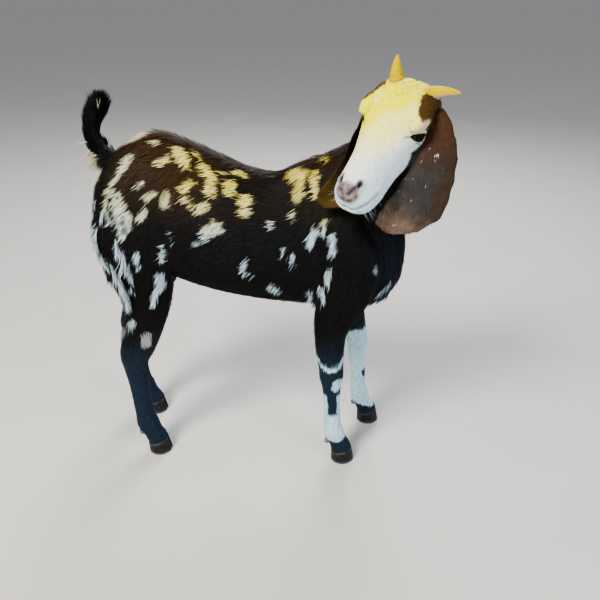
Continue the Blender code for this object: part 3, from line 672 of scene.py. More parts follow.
# White patches on the side that the camera sees: both ends and half width, in millimetres
whitePatches = (
    (-177, -39, 594, -198, -54, 567, 7.2),
    (-198, -54, 567, -216, -60, 545, 5.6),
    (-206, -66, 549, -198, -78, 525, 5.2),
    (-198, -78, 525, -191, -90, 480, 5.6),
    (-193, -71, 544, -180, -84, 510, 5.0),
    (-180, -84, 510, -178, -88, 492, 5.6),
    (-217, -70, 531, -208, -83, 500, 3.8),
    (-239, -76, 492, -238, -77, 464, 4.2),
    (-233, -80, 445, -224, -85, 434, 4.6),
    (-202, -90, 466, -194, -92, 444, 3.8),
    (-216, -87, 422, -207, -91, 415, 3.0),
    (-189, -93, 432, -187, -93, 404, 3.0),
    (-206, -84, 378, -190, -92, 382, 3.4),
    (-163, -72, 556, -155, -67, 563, 4.2),
    (-149, -75, 543, -138, -72, 547, 5.6),
    (-119, -70, 549, -118, -76, 531, 7.4),
    (-162, -82, 509, -153, -79, 521, 4.4),
    (-130, -49, 591, -116, -43, 596, 6.7),
    (-103, -28, 608, -88, -42, 589, 10.0),
    (-76, -23, 602, -61, -35, 587, 4.2),
    (-57, -40, 581, -47, -48, 568, 10.0),
    (-49, -50, 565, -47, -61, 548, 9.0),
    (-32, -38, 573, -26, -38, 572, 3.3),
    (-17, -47, 559, -17, -56, 549, 11.2),
    (-8, -26, 574, 4, -26, 569, 8.3),
    (35, -13, 569, 51, -9, 568, 3.7),
    (-91, -65, 553, -79, -58, 562, 9.1),
    (-88, -71, 538, -77, -73, 532, 6.9),
    (-67, -76, 522, -53, -71, 531, 6.9),
    (9, -59, 537, 8, -69, 522, 12.6),
    (-51, -86, 491, -37, -84, 497, 13.0),
    (-57, -89, 478, -57, -89, 478, 6.6),
    (-78, -89, 472, -70, -90, 469, 3.6),
    (-114, -87, 484, -113, -89, 471, 3.7),
    (-127, -90, 462, -132, -88, 438, 6.8),
    (-140, -89, 409, -137, -85, 390, 9.0),
    (-145, -89, 384, -155, -90, 360, 5.6),
    (-173, -96, 453, -169, -97, 430, 4.8),
    (50, -73, 500, 50, -73, 500, 8.1),
    (9, -95, 444, 6, -97, 432, 4.9),
    (7, -97, 422, 18, -96, 418, 2.6),
    (47, -92, 396, 61, -87, 385, 6.7),
    (69, -83, 462, 70, -85, 452, 3.9),
    (85, -83, 452, 86, -85, 437, 4.6),
    (82, -61, 519, 85, -66, 507, 4.5),
    (79, -20, 572, 95, -25, 574, 13.2),
    (93, -36, 561, 92, -51, 536, 8.2),
    (116, -30, 574, 118, -49, 546, 7.8),
    (132, -14, 594, 135, -18, 592, 3.6),
    (118, -70, 491, 113, -75, 468, 8.4),
    (134, -72, 507, 133, -77, 489, 5.6),
    (147, -81, 486, 151, -86, 460, 6.8),
    (142, -85, 426, 139, -85, 405, 7.9),
    (131, -81, 390, 135, -84, 372, 5.0),
    (111, -80, 381, 112, -65, 355, 4.4),
    (219, -78, 432, 219, -78, 432, 3.6),
    (251, -42, 385, 233, -45, 364, 3.9),
    (-147, -28, 617, -135, -27, 618, 2.5),
    (-164, -6, 619, -182, -8, 612, 8.0),
    (-252, -10, 572, -257, -12, 556, 9.0),
)

patchLook = {"grow": 0.82, "rim": 0.0018, "small": 0.005, "ragged": 0.85, "strand": 0.0015}
# The yellow back and brow colours are painted yellow light from above; the bluish black is a
# painted sheen; the whites and shins carry a painted bluish tint of the light from the front; the
# bluish cheek colour is painted shade.
coatColours = {
    "black": (0.0080, 0.0074, 0.0076),
    "brown": (0.0440, 0.0220, 0.0055),
    "coolSheen": (0.0155, 0.0290, 0.0500),
    "yellowLight": (0.830, 0.690, 0.140),
    "cream": (0.620, 0.640, 0.430),
    "white": (0.580, 0.740, 0.820),
    "shin": (0.580, 0.820, 0.920),
    "face": (0.730, 0.790, 0.790),
    "browLight": (0.950, 0.850, 0.000),
    "temple": (0.066, 0.036, 0.008),
    "cheekShade": (0.600, 0.730, 0.830),
    "hock": (0.430, 0.380, 0.390),
    "tan": (0.680, 0.510, 0.380),
    "nose": (0.130, 0.073, 0.071),
    "dark": (0.010, 0.007, 0.007),
}
colourOf = {name: np.array(value) for name, value in coatColours.items()}


farLook = {"seed": 11, "skipped": 0.25, "moved": 16, "size": (0.8, 1.25)}


# The hidden side's patches: the shown ones mirrored, each moved and resized at random.
def farPatches():
    draw = np.random.default_rng(farLook["seed"])
    made = []
    for x1, y1, z1, x2, y2, z2, half in whitePatches:
        if draw.random() < farLook["skipped"]:
            continue
        ahead, up = draw.uniform(-farLook["moved"], farLook["moved"], 2)
        size = draw.uniform(*farLook["size"])
        start, end = (x1 + ahead, -y1, z1 + up), (x2 + ahead * 1.2, -y2, z2 + up * 0.8)
        made.append((*start, *end, half * size))
    return made


patchRows = np.array(list(whitePatches) + farPatches()) / 1000


# How far inside a white patch each point is, in metres, with ragged edges.
def patchShare(points):
    best = np.full(len(points), -1.0)
    ragged = noise(points, 0.0075, 3) * 0.0018 + noise(points, 0.0026, 4) * 0.0012
    run = unit(np.array([-0.5, 0, -0.85]))
    drawn = points - 0.8 * np.outer(points @ run, run)
    strands = noise(drawn, 0.0030, 12)
    for row in patchRows:
        start, end, half = row[:3], row[3:6], row[6]
        near = np.linalg.norm(points - (start + end) / 2, axis=1) < 0.055
        if not near.any():
            continue
        apart = lineDistance(points[near], (start, end))
        grown = half * patchLook["grow"] + patchLook["rim"] * math.exp(-half / patchLook["small"])
        best[near] = np.maximum(best[near], grown - apart)
    return best + ragged * patchLook["ragged"] + strands * patchLook["strand"]


# How far forward the middle of a leg is at a height
def legMiddle(name, height):
    rows = np.array(legs[name][0])[::-1]
    return np.interp(height, rows[:, 1], rows[:, 0])


# White on the shins, from the stations and heights seen in the photo.
def legShare(points, name):
    z = points[:, 2]
    side = legs[name][1]
    front = points[:, 0] - legMiddle(name, z)
    across = (points[:, 1] - side * stance) * side
    ragged = noise(points, 0.006, 7) * 0.0025

    def spot(radius, start, end):
        return radius - flatDistance(front, z, (start, end))

    if name == "foreleg_right":
        dip = 0.018 * (1 - np.clip(np.abs(front) / 0.022, 0, 1) ** 2) * (across > -0.01)
        band = 0.0055 - np.abs(z - (0.243 - dip))
        shin = np.minimum(0.163 - z, z - (0.061 - dip * 0.4))
        tongue = np.maximum(np.abs(front - 0.001) - 0.0085, 0.118 - z)
        knee = spot(0.0085, (0.012, 0.196), (0.009, 0.184))
        shin = np.where(across > -0.004, np.minimum(shin, tongue), shin)
        return np.maximum.reduce([band, shin, knee]) + ragged
    if name == "foreleg_left":
        shin = np.minimum(0.238 - z, z - (0.048 - front * 0.35))
        dark = spot(0.006, (0.014, 0.132), (0.015, 0.124))
        return np.where(dark > 0, -dark, shin) + ragged
    patch = spot(0.0090, (0.013, 0.288), (0.016, 0.268))
    heel = spot(0.004, (-0.030, 0.292), (-0.034, 0.276))
    inner = spot(0.006, (-0.018, 0.314), (-0.020, 0.308))
    return np.maximum.reduce([patch, heel, inner]) + ragged


# Black, a warmer brown along the back and a painted bluish sheen low down and on the chest, with
# slow changes.
def darkCoat(points):
    z = points[:, 2]
    x = points[:, 0]
    top = ease(z, 0.48, 0.585) * np.clip(0.58 + 0.55 * noise(points, 0.055, 5), 0, 1)
    top *= ease(x, -0.235, -0.19)
    low = np.maximum(ease(-z, -0.32, -0.20), 0.45 * ease(x, 0.20, 0.25) * ease(-z, -0.50, -0.44))
    colour = colourOf["black"] + np.outer(top, colourOf["brown"] - colourOf["black"])
    return colour + np.outer(low, colourOf["coolSheen"] - colourOf["black"])


# Cream on the flanks, with painted yellow light from above on the back and painted bluish light
# low down, bluest on the shins; greyer on the hind feet.
def paleCoat(points):
    z = points[:, 2]
    change = noise(points, 0.04, 6) * 0.03
    top = ease(z + change, 0.49, 0.57) * ease(points[:, 0], -0.17, -0.07)
    low = ease(-(z + change), -0.53, -0.45)
    foot = ease(-z, -0.34, -0.28)
    colour = colourOf["cream"] + np.outer(top, colourOf["yellowLight"] - colourOf["cream"])
    colour += np.outer(low, colourOf["white"] - colourOf["cream"])
    blend(colour, foot, colourOf["shin"])
    blend(colour, foot * ease(-points[:, 0], 0.10, 0.13), colourOf["hock"])
    return colour


# The distance to the nearer nostril's slit, in the head frame
def slitDistance(local):
    return np.minimum(
        lineDistance(local, nostrilSlit),
        lineDistance(local, [(a, -b, c) for a, b, c in nostrilSlit]),
    )


# White face with painted yellow light on the brow and crown and painted cool shade under the
# cheeks, brown temples, a pink nose, and painted shade in the nostrils and along the mouth. The
# numbers are places and distances in the head frame, in metres.
def headColour(points):
    local = toHead(points)
    reach, side, height = local.T
    colour = evenColour(colourOf["face"], len(points))
    slant = reach + 0.85 * side
    # Painted yellow light from above on the crown and along the ridge of the face
    crown = ease(height, -0.060, -0.022) * ease(-slant, -0.112, -0.056)
    ridge = ease(height - 0.45 * side, -0.055, -0.010) * ease(-reach, -0.185, -0.085) * 0.75
    # Painted cool shade under the cheek
    cheekShade = ease(-height, 0.030, 0.075) * ease(reach, 0.05, 0.09) * 0.60
    blend(colour, cheekShade, colourOf["cheekShade"])
    drawn = local * (0.15, 1.0, 1.0)
    colour *= (1 + 0.07 * noise(drawn, 0.0016, 13))[:, None]
    browLight = np.clip(np.maximum(crown, ridge) * (1 + 0.25 * noise(points, 0.012, 8)), 0, 1)
    blend(colour, browLight, colourOf["browLight"])
    aside = np.abs(side)
    edge = np.interp(
        reach,
        (0.010, 0.0165, 0.0287, 0.0415, 0.0514, 0.0621, 0.0680),
        (0.022, 0.0263, 0.0322, 0.0369, 0.0405, 0.0475, 0.0600),
    )
    edge = edge + noise(points, 0.004, 9) * 0.0015 + np.where(side < 0, 0.006, 0)
    edge -= 0.0060 * ease(height, -0.012, -0.002) * ease(reach, 0.020, 0.030)
    mark = ease(aside - edge, -0.0012, 0.0022) * ease(-reach, -0.073, -0.064)
    mark *= ease(height, -0.078, -0.070)
    mark *= 1 - ease(reach, 0.050, 0.058) * ease(-height, 0.000, 0.006)
    blend(colour, mark, colourOf["temple"])
    tan = np.linalg.norm(local - (0.0650, 0.0530, -0.0110), axis=1)
    tan = ease(-tan, -0.0140, -0.0060) * (side > 0) * 0.9
    blend(colour, tan, colourOf["tan"])
    # Black on the back of the jaw by the ear: black neck hair, and painted shade in the gap
    # between cheek and ear
    behind = 0.773 * aside - 0.609 * reach - 0.173 * height + 0.0015 * noise(points, 0.005, 14)
    jawHairAndShade = ease(behind, -0.0125, -0.0085) * ease(-height, 0.043, 0.050)
    blend(colour, jawHairAndShade, colourOf["black"] * 1.3)
    slits = slitDistance(local)
    pad = np.linalg.norm((local - (0.186, 0.001, -0.052)) / (0.015, 0.0165, 0.0135), axis=1)
    nose = np.maximum(ease(-slits, -0.0090, -0.0035), ease(-pad, -1.40, -0.95))
    nose *= 0.85 + 0.20 * noise(points, 0.004, 10)
    blend(colour, np.clip(nose, 0, 1), colourOf["nose"])
    # Painted shade in the nostril slits
    blend(colour, ease(-slits, -0.0034, -0.0016), colourOf["dark"])
    # Painted shade along the crease of the mouth
    lips = lineDistance(local[:, (0, 2)], mouthLine)
    mouthShade = ease(-lips, -0.0020, -0.0006) * ease(reach, 0.146, 0.152) * 0.8
    blend(colour, mouthShade, colourOf["nose"] * 0.35)
    for way in (1, -1):
        across, upright, out = toEye(local, way)
        inside = lidInside(across, upright, 1.06, 1.16)
        rim = ease(-inside, -1.12, -0.98) * (out > -0.006)
        blend(colour, rim, colourOf["dark"] * 1.6)
        # A dark line from the eye's front corner along the tear groove
        line = ((lidHalfLength - 0.001, 0.0), (lidHalfLength + 0.008, -0.0012))
        tear = flatDistance(across, upright, line)
        tearDark = ease(-tear, -0.0022, -0.0006) * ease(out, -0.022, -0.012) * 0.7
        blend(colour, tearDark, colourOf["dark"] * 5)
    return np.clip(colour, 0, 1)


# Zones: where each point of the skin belongs


def planeSide(points, centre, normal):
    return (points - np.array(centre)) @ unit(np.array(normal, float))


headCutCentre = headPoint((0.0235, 0.0, -0.0905))
headCutNormal = np.array([0.42, 0.35, 0.80]) @ headAxes


# 1 on the head, 0 on the body, with a short blend at the throat.
def headness(points):
    local = toHead(points)
    within = (np.abs(local[:, 1]) < 0.075) & (local[:, 2] > -0.14) & (local[:, 0] > -0.06)
    side = planeSide(points, headCutCentre, headCutNormal)
    return ease(side, -0.008, 0.010) * within


legTop = 0.330


# 0 torso, 1 neck, 2 head, 3 tail, 4 to 7 the legs.
def zonesOf(points):
    zone = np.zeros(len(points), int)
    x, y, z = points.T
    neck = planeSide(points, (0.185, 0.0, 0.545), (0.62, 0, 0.78)) > 0
    zone[neck & (x > 0.1)] = 1
    tail = planeSide(points, (-0.236, 0, 0.594), (-0.60, 0, 0.80)) > 0
    zone[tail & (x < -0.18)] = 3
    zone[headness(points) > 0.5] = 2
    hind = planeSide(points, (-0.185, 0, 0.3965), (0.290, 0, 0.957)) < 0
    for number, (name, (_, side)) in enumerate(legs.items()):
        own = (y * side > 0) & (x > 0 if name.startswith("fore") else x < 0)
        low = z < legTop if name.startswith("fore") else hind
        zone[own & low & (zone != 2)] = 4 + number
    return zone


tailSpot = (-0.232, -0.012, 0.676)


# The coat's colour and whether it is pale, for points on the skin. The blur is the width of a
# marking's edge, and the stray moves that edge for single hairs.
def coatAt(points, zone, blur=0.0008, stray=0.0):
    inside = patchShare(points)
    for number, name in enumerate(legs):
        own = zone == 4 + number
        if own.any():
            shin = legShare(points[own], name)
            low = ease(-points[own][:, 2], -0.315, -0.300) > 0.5
            inside[own] = np.where(low, shin, np.maximum(inside[own], shin))
    inside = np.where(zone == 3, 0.004 - np.linalg.norm(points - tailSpot, axis=1), inside)
    pale = ease(inside + stray, -blur, blur)
    colour = darkCoat(points)
    blend(colour, pale, paleCoat(points))
    head = headness(points)
    some = head > 0
    colour[some] += head[some, None] * (headColour(points[some]) - colour[some])
    return colour, pale


# Skin

leftWay, upWay = np.array([0, 1.0, 0]), np.array([0, 0, 1.0])


def torsoForm():
    depth = coatDepth["torso"]
    rings = []
    for x, top, bottom, halfWidth, pinch in smoothRows(torsoStations, 5):
        top, bottom, halfWidth = top - depth, bottom + depth, max(halfWidth - depth, 0.006)
        widest = bottom + torsoWidest * (top - bottom)
        x = x + depth * (1 if x < -0.235 else -1 if x > 0.255 else 0)
        sizes = (halfWidth, top - widest, widest - bottom, 96, pinch, 0.92)
        rings.append(ringPoints(np.array([x, 0, widest]), leftWay, upWay, *sizes))
    return loft("torso form", rings)


def neckForm():
    rows = smoothRows(neckStations, 5)
    along = unit(np.gradient(rows[:, :3], axis=0))
    rings = []
    for at, (x, y, z, halfDepth, halfWidth, turn) in enumerate(rows):
        less = coatDepth["neck"] * (1 - 0.7 * at / (len(rows) - 1))
        swing = math.radians(90 + turn)
        side = np.array([math.cos(swing), math.sin(swing), 0])
        across = unit(side - along[at] * (side @ along[at]))
        upward = unit(np.cross(across, along[at]))
        sizes = (halfWidth - less, halfDepth - less, halfDepth - less, 72)
        rings.append(ringPoints(np.array([x, y, z]), across, upward, *sizes))
    return loft("neck form", rings)


def legForm(name):
    stations, side = legs[name]
    rows = []
    for x, z, halfDepth, halfWidth, inset in smoothRows(stations, 5):
        less = coatDepth["leg"] + (coatDepth["torso"] - coatDepth["leg"]) * ease(z, 0.30, 0.45)
        rows.append((x, side * (stance + inset), z, halfDepth - less, halfWidth - less))
    return loft(name + " form", tube(rows, 56, leftWay, 0.92))


def tailForm():
    rows = [(x, 0, z, depth, width) for x, z, depth, width in smoothRows(tailStations, 4)]
    return loft("tail form", tube(rows, 32, leftWay))


def headForm():
    rings = []
    for reach, top, widest, bottom, halfWidth, pinch in smoothRows(headStations, 5):
        less = coatDepth["head"] * (1 - 0.8 * ease(reach, 0.11, 0.16))
        sizes = (halfWidth - less, top - less - widest, widest - bottom - less)
        sizes = [size * headScale for size in sizes]
        centre = headPoint((reach, 0, widest))
        rings.append(ringPoints(centre, leftward, crownward, *sizes, 96, pinch, 0.82))
    return loft("head form", rings)


def massForms():
    made = []
    for centre, radii in headMasses:
        for way in (1, -1):
            middle = (centre[0], centre[1] * way, centre[2])
            slim = [radius - coatDepth["head"] for radius in radii]
            made.append(ball("mass form", middle, slim))
    return made


lidLook = {"upper": 0.0030, "lower": 0.0022, "lift": 0.0005}


# A thick almond loop round each eye, heavier above.
def lidForms():
    made = []
    count, sides = 64, 12
    angle, turn = turns(count), turns(sides)[None, :, None]
    for way in (1, -1):
        rise = lidHalfHeight * np.sign(np.sin(angle)) * np.abs(np.sin(angle)) ** 1.25
        rise *= np.where(rise > 0, lidArch[0], lidArch[1])
        reach = lidHalfLength * np.cos(angle)
        shell = eyeRadius + lidLook["lift"]
        out = np.sqrt(np.maximum(shell**2 - reach**2 - rise**2, 0.0045**2))
        middle = eyePlace(way)
        centres = middle + np.stack([reach, rise, out], axis=1) @ lidAxes(way)
        along = unit(np.roll(centres, -1, axis=0) - np.roll(centres, 1, axis=0))
        outwardWay = unit(centres - middle)
        across = unit(np.cross(along, outwardWay))
        thick = np.where(rise > 0, lidLook["upper"], lidLook["lower"])[:, None, None]
        points = centres[:, None] + np.cos(turn) * across[:, None] * thick
        points = points + np.sin(turn) * outwardWay[:, None] * thick
        faces = []
        for row in range(count):
            low, high = row * sides, (row + 1) % count * sides
            for step in range(sides):
                after = (step + 1) % sides
                faces.append((low + step, low + after, high + after, high + step))
        made.append(outward(objectOf("lid form", headPoint(points.reshape(-1, 3)), faces)))
        smoothShade(made[-1])
    return made


# Presses in the mouth, the nostrils, the sockets and the soft hollows of the face. The numbers
# are places, depths and widths in the head frame, in metres.
def carveFace(item):
    points, normals = pointsOf(item), normalsOf(item)
    near = headness(points) > 0
    local = toHead(points[near])
    sideView = local[:, (0, 2)]
    front = ease(local[:, 0], 0.125, 0.140)
    push = -front * 0.0034 * hump(lineDistance(sideView, mouthLine), 0.0017)
    for level in (0.0060, -0.0058):
        lip = [(reach, height + level) for reach, height in mouthLine]
        push += front * 0.0011 * hump(lineDistance(sideView, lip), 0.0040)
    philtrum = ease(local[:, 0], 0.176, 0.186) * (local[:, 2] < -0.056)
    push -= philtrum * 0.0018 * hump(local[:, 1], 0.0014)
    for way in (1, -1):
        apart = lineDistance(local, [(a, b * way, c) for a, b, c in nostrilSlit])
        push += 0.0011 * hump(apart - 0.0062, 0.0026)
        push -= 0.0062 * hump(apart, 0.0030)
        across, upright, out = toEye(local, way)
        inside = lidInside(across, upright, 0.92, 0.92)
        push -= ease(out, -0.012, -0.004) * 0.0080 * np.clip((1.12 - inside) / 0.35, 0, 1)
        line = ((lidHalfLength, 0.0005), (lidHalfLength + 0.010, -0.0015))
        tear = flatDistance(across, upright, line)
        push -= ease(out, -0.020, -0.010) * 0.0016 * hump(tear, 0.0026)
        crest = ((0.086, way * 0.040, -0.056), (0.120, way * 0.034, -0.066))
        push += 0.0014 * hump(lineDistance(local, crest), 0.006)
        hollow = ((0.105, way * 0.034, -0.080), (0.135, way * 0.032, -0.080))
        push -= 0.0018 * hump(lineDistance(local, hollow), 0.009)
    points[near] += normals[near] * push[:, None]
    setPoints(item, points)


# Smooths the points that have weight.
def soften(item, weights, rounds):
    group = item.vertex_groups.new(name="soft")
    levels = np.round(weights * 10).astype(int)
    for level in range(1, 11):
        chosen = np.nonzero(levels == level)[0].tolist()
        if chosen:
            group.add(chosen, level / 10, "REPLACE")
    smooth = item.modifiers.new("soften", "SMOOTH")
    smooth.factor = 0.5
    smooth.iterations = rounds
    smooth.vertex_group = "soft"
    settle(item)


skinSize = {"voxel": 0.0015, "triangles": 176000, "rounds": 70, "faceRounds": 3}


def buildSkin():
    items = [torsoForm(), neckForm(), headForm(), tailForm()]
    items += [legForm(name) for name in legs]
    items += massForms() + lidForms()
    skin = joined(items, "goat_skin")
    remesh = skin.modifiers.new("skin", "REMESH")
    remesh.mode = "VOXEL"
    remesh.voxel_size = skinSize["voxel"] * 1
    settle(skin)
    say("skin remeshed", len(skin.data.vertices))
    points = pointsOf(skin)
    body = 1 - ease(planeSide(points, headCutCentre, headCutNormal), -0.03, 0.0)
    body = np.maximum(body, ease(-points[:, 2], -0.60, -0.58))
    body = np.maximum(body, ease(-points[:, 0], -0.16, -0.14))
    high = 0.25 + 0.75 * ease(points[:, 2], 0.25, 0.36)
    soften(skin, body * high, skinSize["rounds"])
    soften(skin, np.ones(len(points)), skinSize["faceRounds"])
    carveFace(skin)
    skin.data.calc_loop_triangles()
    thin = skin.modifiers.new("thin", "DECIMATE")
    wanted = skinSize["triangles"] * 1
    thin.ratio = min(1.0, wanted / len(skin.data.loop_triangles))
    settle(skin)
    smoothShade(skin)
    points = pointsOf(skin)
    zone = zonesOf(points)
    colour, _ = coatAt(points, zone)
    # Painted shade under the coat: the skin is darker than the hair over it, a little on the head
    # and more on the body
    shadeUnderHair = np.where(zone == 2, 0.94, 0.72)
    paint(skin, colour * shadeUnderHair[:, None])
    mask = np.zeros((len(points), 3))
    mask[:, 0] = headness(points)
    paint(skin, mask, "zone")
    skin.data.materials.clear()
    skin.data.materials.append(skinMaterial())
    say("skin", len(skin.data.polygons), "faces")
    return skin


# Hair

# The way the hair lies, along the surface.
def lieAt(points, normals, zone):
    x, y, z = points.T
    count = len(points)
    side = np.sign(y + 1e-6)
    rump = ease(-x, 0.09, 0.17)
    thigh = ease(-x, 0.12, 0.18) * ease(-z, -0.56, -0.48)
    shoulder = ease(x, 0.03, 0.12)
    level = ease(z, 0.40, 0.60)
    lie = np.zeros((count, 3))
    lie[:, 0] = -0.85 + 0.35 * rump + 0.65 * shoulder * (1 - 0.6 * level)
    lie[:, 2] = -(0.70 - 0.35 * level)
    lie[:, 1] = side * 0.12 * level
    lie += thigh[:, None] * (np.array([-0.20, 0, -1.0]) - lie)
    under = ease(-normals[:, 2], 0.5, 0.9)
    lie += under[:, None] * (np.array([-0.9, 0, -0.35]) - lie)
    neck = zone == 1
    lie[neck] = (-0.52, 0.05, -0.85)
    lie[neck, 1] += side[neck] * 0.1
    chest = ease(x, 0.19, 0.25)[:, None] * (zone == 0)[:, None]
    lie += chest * (np.array([-0.1, 0, -1.0]) - lie)
    leg = zone >= 4
    lie[leg] = (-0.14, 0, -1.0)
    tail = zone == 3
    lie[tail] = (0.10, 0, 1.0)
    lie[tail] += normals[tail] * 0.35
    head = zone == 2
    local = toHead(points[head])
    down = ease(-local[:, 2], -0.005, 0.060)
    lie[head] = (
        -forward
        - np.outer(down * 0.55, crownward)
        + np.outer(np.sign(local[:, 1]) * (0.10 + 0.25 * ease(-local[:, 0], -0.08, 0)), leftward)
    )
    return flattened(lie, normals)


# Each vector turned about its own axis.
def turned(vectors, axes, angles):
    cosine, sine = np.cos(angles)[:, None], np.sin(angles)[:, None]
    return vectors * cosine + np.cross(axes, vectors) * sine


# The skin's triangles, for choosing roots on it.
class Surface:
    def __init__(self, item):
        mesh = item.data
        mesh.calc_loop_triangles()
        corners = np.empty(len(mesh.loop_triangles) * 3, int)
        mesh.loop_triangles.foreach_get("vertices", corners)
        self.corners = corners.reshape(-1, 3)
        self.points = pointsOf(item)
        self.normals = normalsOf(item)
        first, second, third = (self.points[self.corners[:, at]] for at in range(3))
        self.middles = (first + second + third) / 3
        self.areas = np.linalg.norm(np.cross(second - first, third - first), axis=1) / 2
        self.zone = zonesOf(self.middles)

    def roots(self, weights, count, draw):
        share = self.areas * weights
        total = np.cumsum(share)
        chosen = np.searchsorted(total, draw.random(count) * total[-1])
        chosen = np.minimum(chosen, len(total) - 1)
        u, v = draw.random(count), draw.random(count)
        flip = u + v > 1
        u[flip], v[flip] = 1 - u[flip], 1 - v[flip]
        weight = np.stack([1 - u - v, u, v], axis=1)[:, :, None]
        corners = self.corners[chosen]
        points = np.sum(self.points[corners] * weight, axis=1)
        normals = unit(np.sum(self.normals[corners] * weight, axis=1))
        return points, normals, self.zone[chosen]


# For each hair, the way from its tip to the tip of the nearest leading hair, and that hair.
def clumpPull(root, lie, length, every, draw):
    tips = root + lie * length[:, None]
    leaders = draw.choice(len(root), max(2, len(root) // every), replace=False)
    nearest = leaders[nearestOf(root, root[leaders])]
    return tips[nearest] - tips, nearest


# Values that every hair has unless its own are given: see hairMesh. One number goes for all.
# The skin is each hair's root, the skin's normal there and the way the hair lies.
def hairsOf(skin, length, draw, **given):
    count = len(length)
    hairs = {
        "width": 0.0010,
        "stand": 0.15,
        "curl": draw.normal(0, 0.15, count),
        "wave": 0.03 * draw.random(count),
        "phase": draw.uniform(0, 6, count),
        "turns": 3.0,
        "pull": np.zeros((count, 3)),
        "gather": 0.35,
        "sag": 0.0,
        "sink": 0.0009,
        # the tuft's brightness at its root under painted shade; 1 is none
        "deep": 0.75,
        "rise": 0.55,
    }
    hairs.update(given, length=length, **dict(zip(("root", "normal", "lie"), skin)))
    for key, value in hairs.items():
        if np.isscalar(value):
            hairs[key] = np.full(count, value)
    hairs["colour"] = np.clip(hairs["colour"], 0, 0.92)
    return hairs


# Factors that make single hairs lighter or darker
def shades(draw, count, middle, spread, low, high):
    return np.clip(draw.normal(middle, spread, count), low, high)[:, None]


# The nearest place on the skin to each spot, and the skin's normal there
def onSkin(skinTree, spots):
    found = [skinTree.find_nearest(Vector(spot)) for spot in spots]
    return np.array([hit[0] for hit in found]), unit(np.array([hit[1] for hit in found]))


# A tuft's widths at shares of its length, how far its own turn counts in its shading beside the
# skin's under it, and the size of its patch on the map
tuftLook = {
    "shares": (0, 0.35, 0.75, 1.0),
    "widths": (0.8, 1.0, 0.62, 0.0),
    "shade": 0.55,
    "patch": 0.003,
}


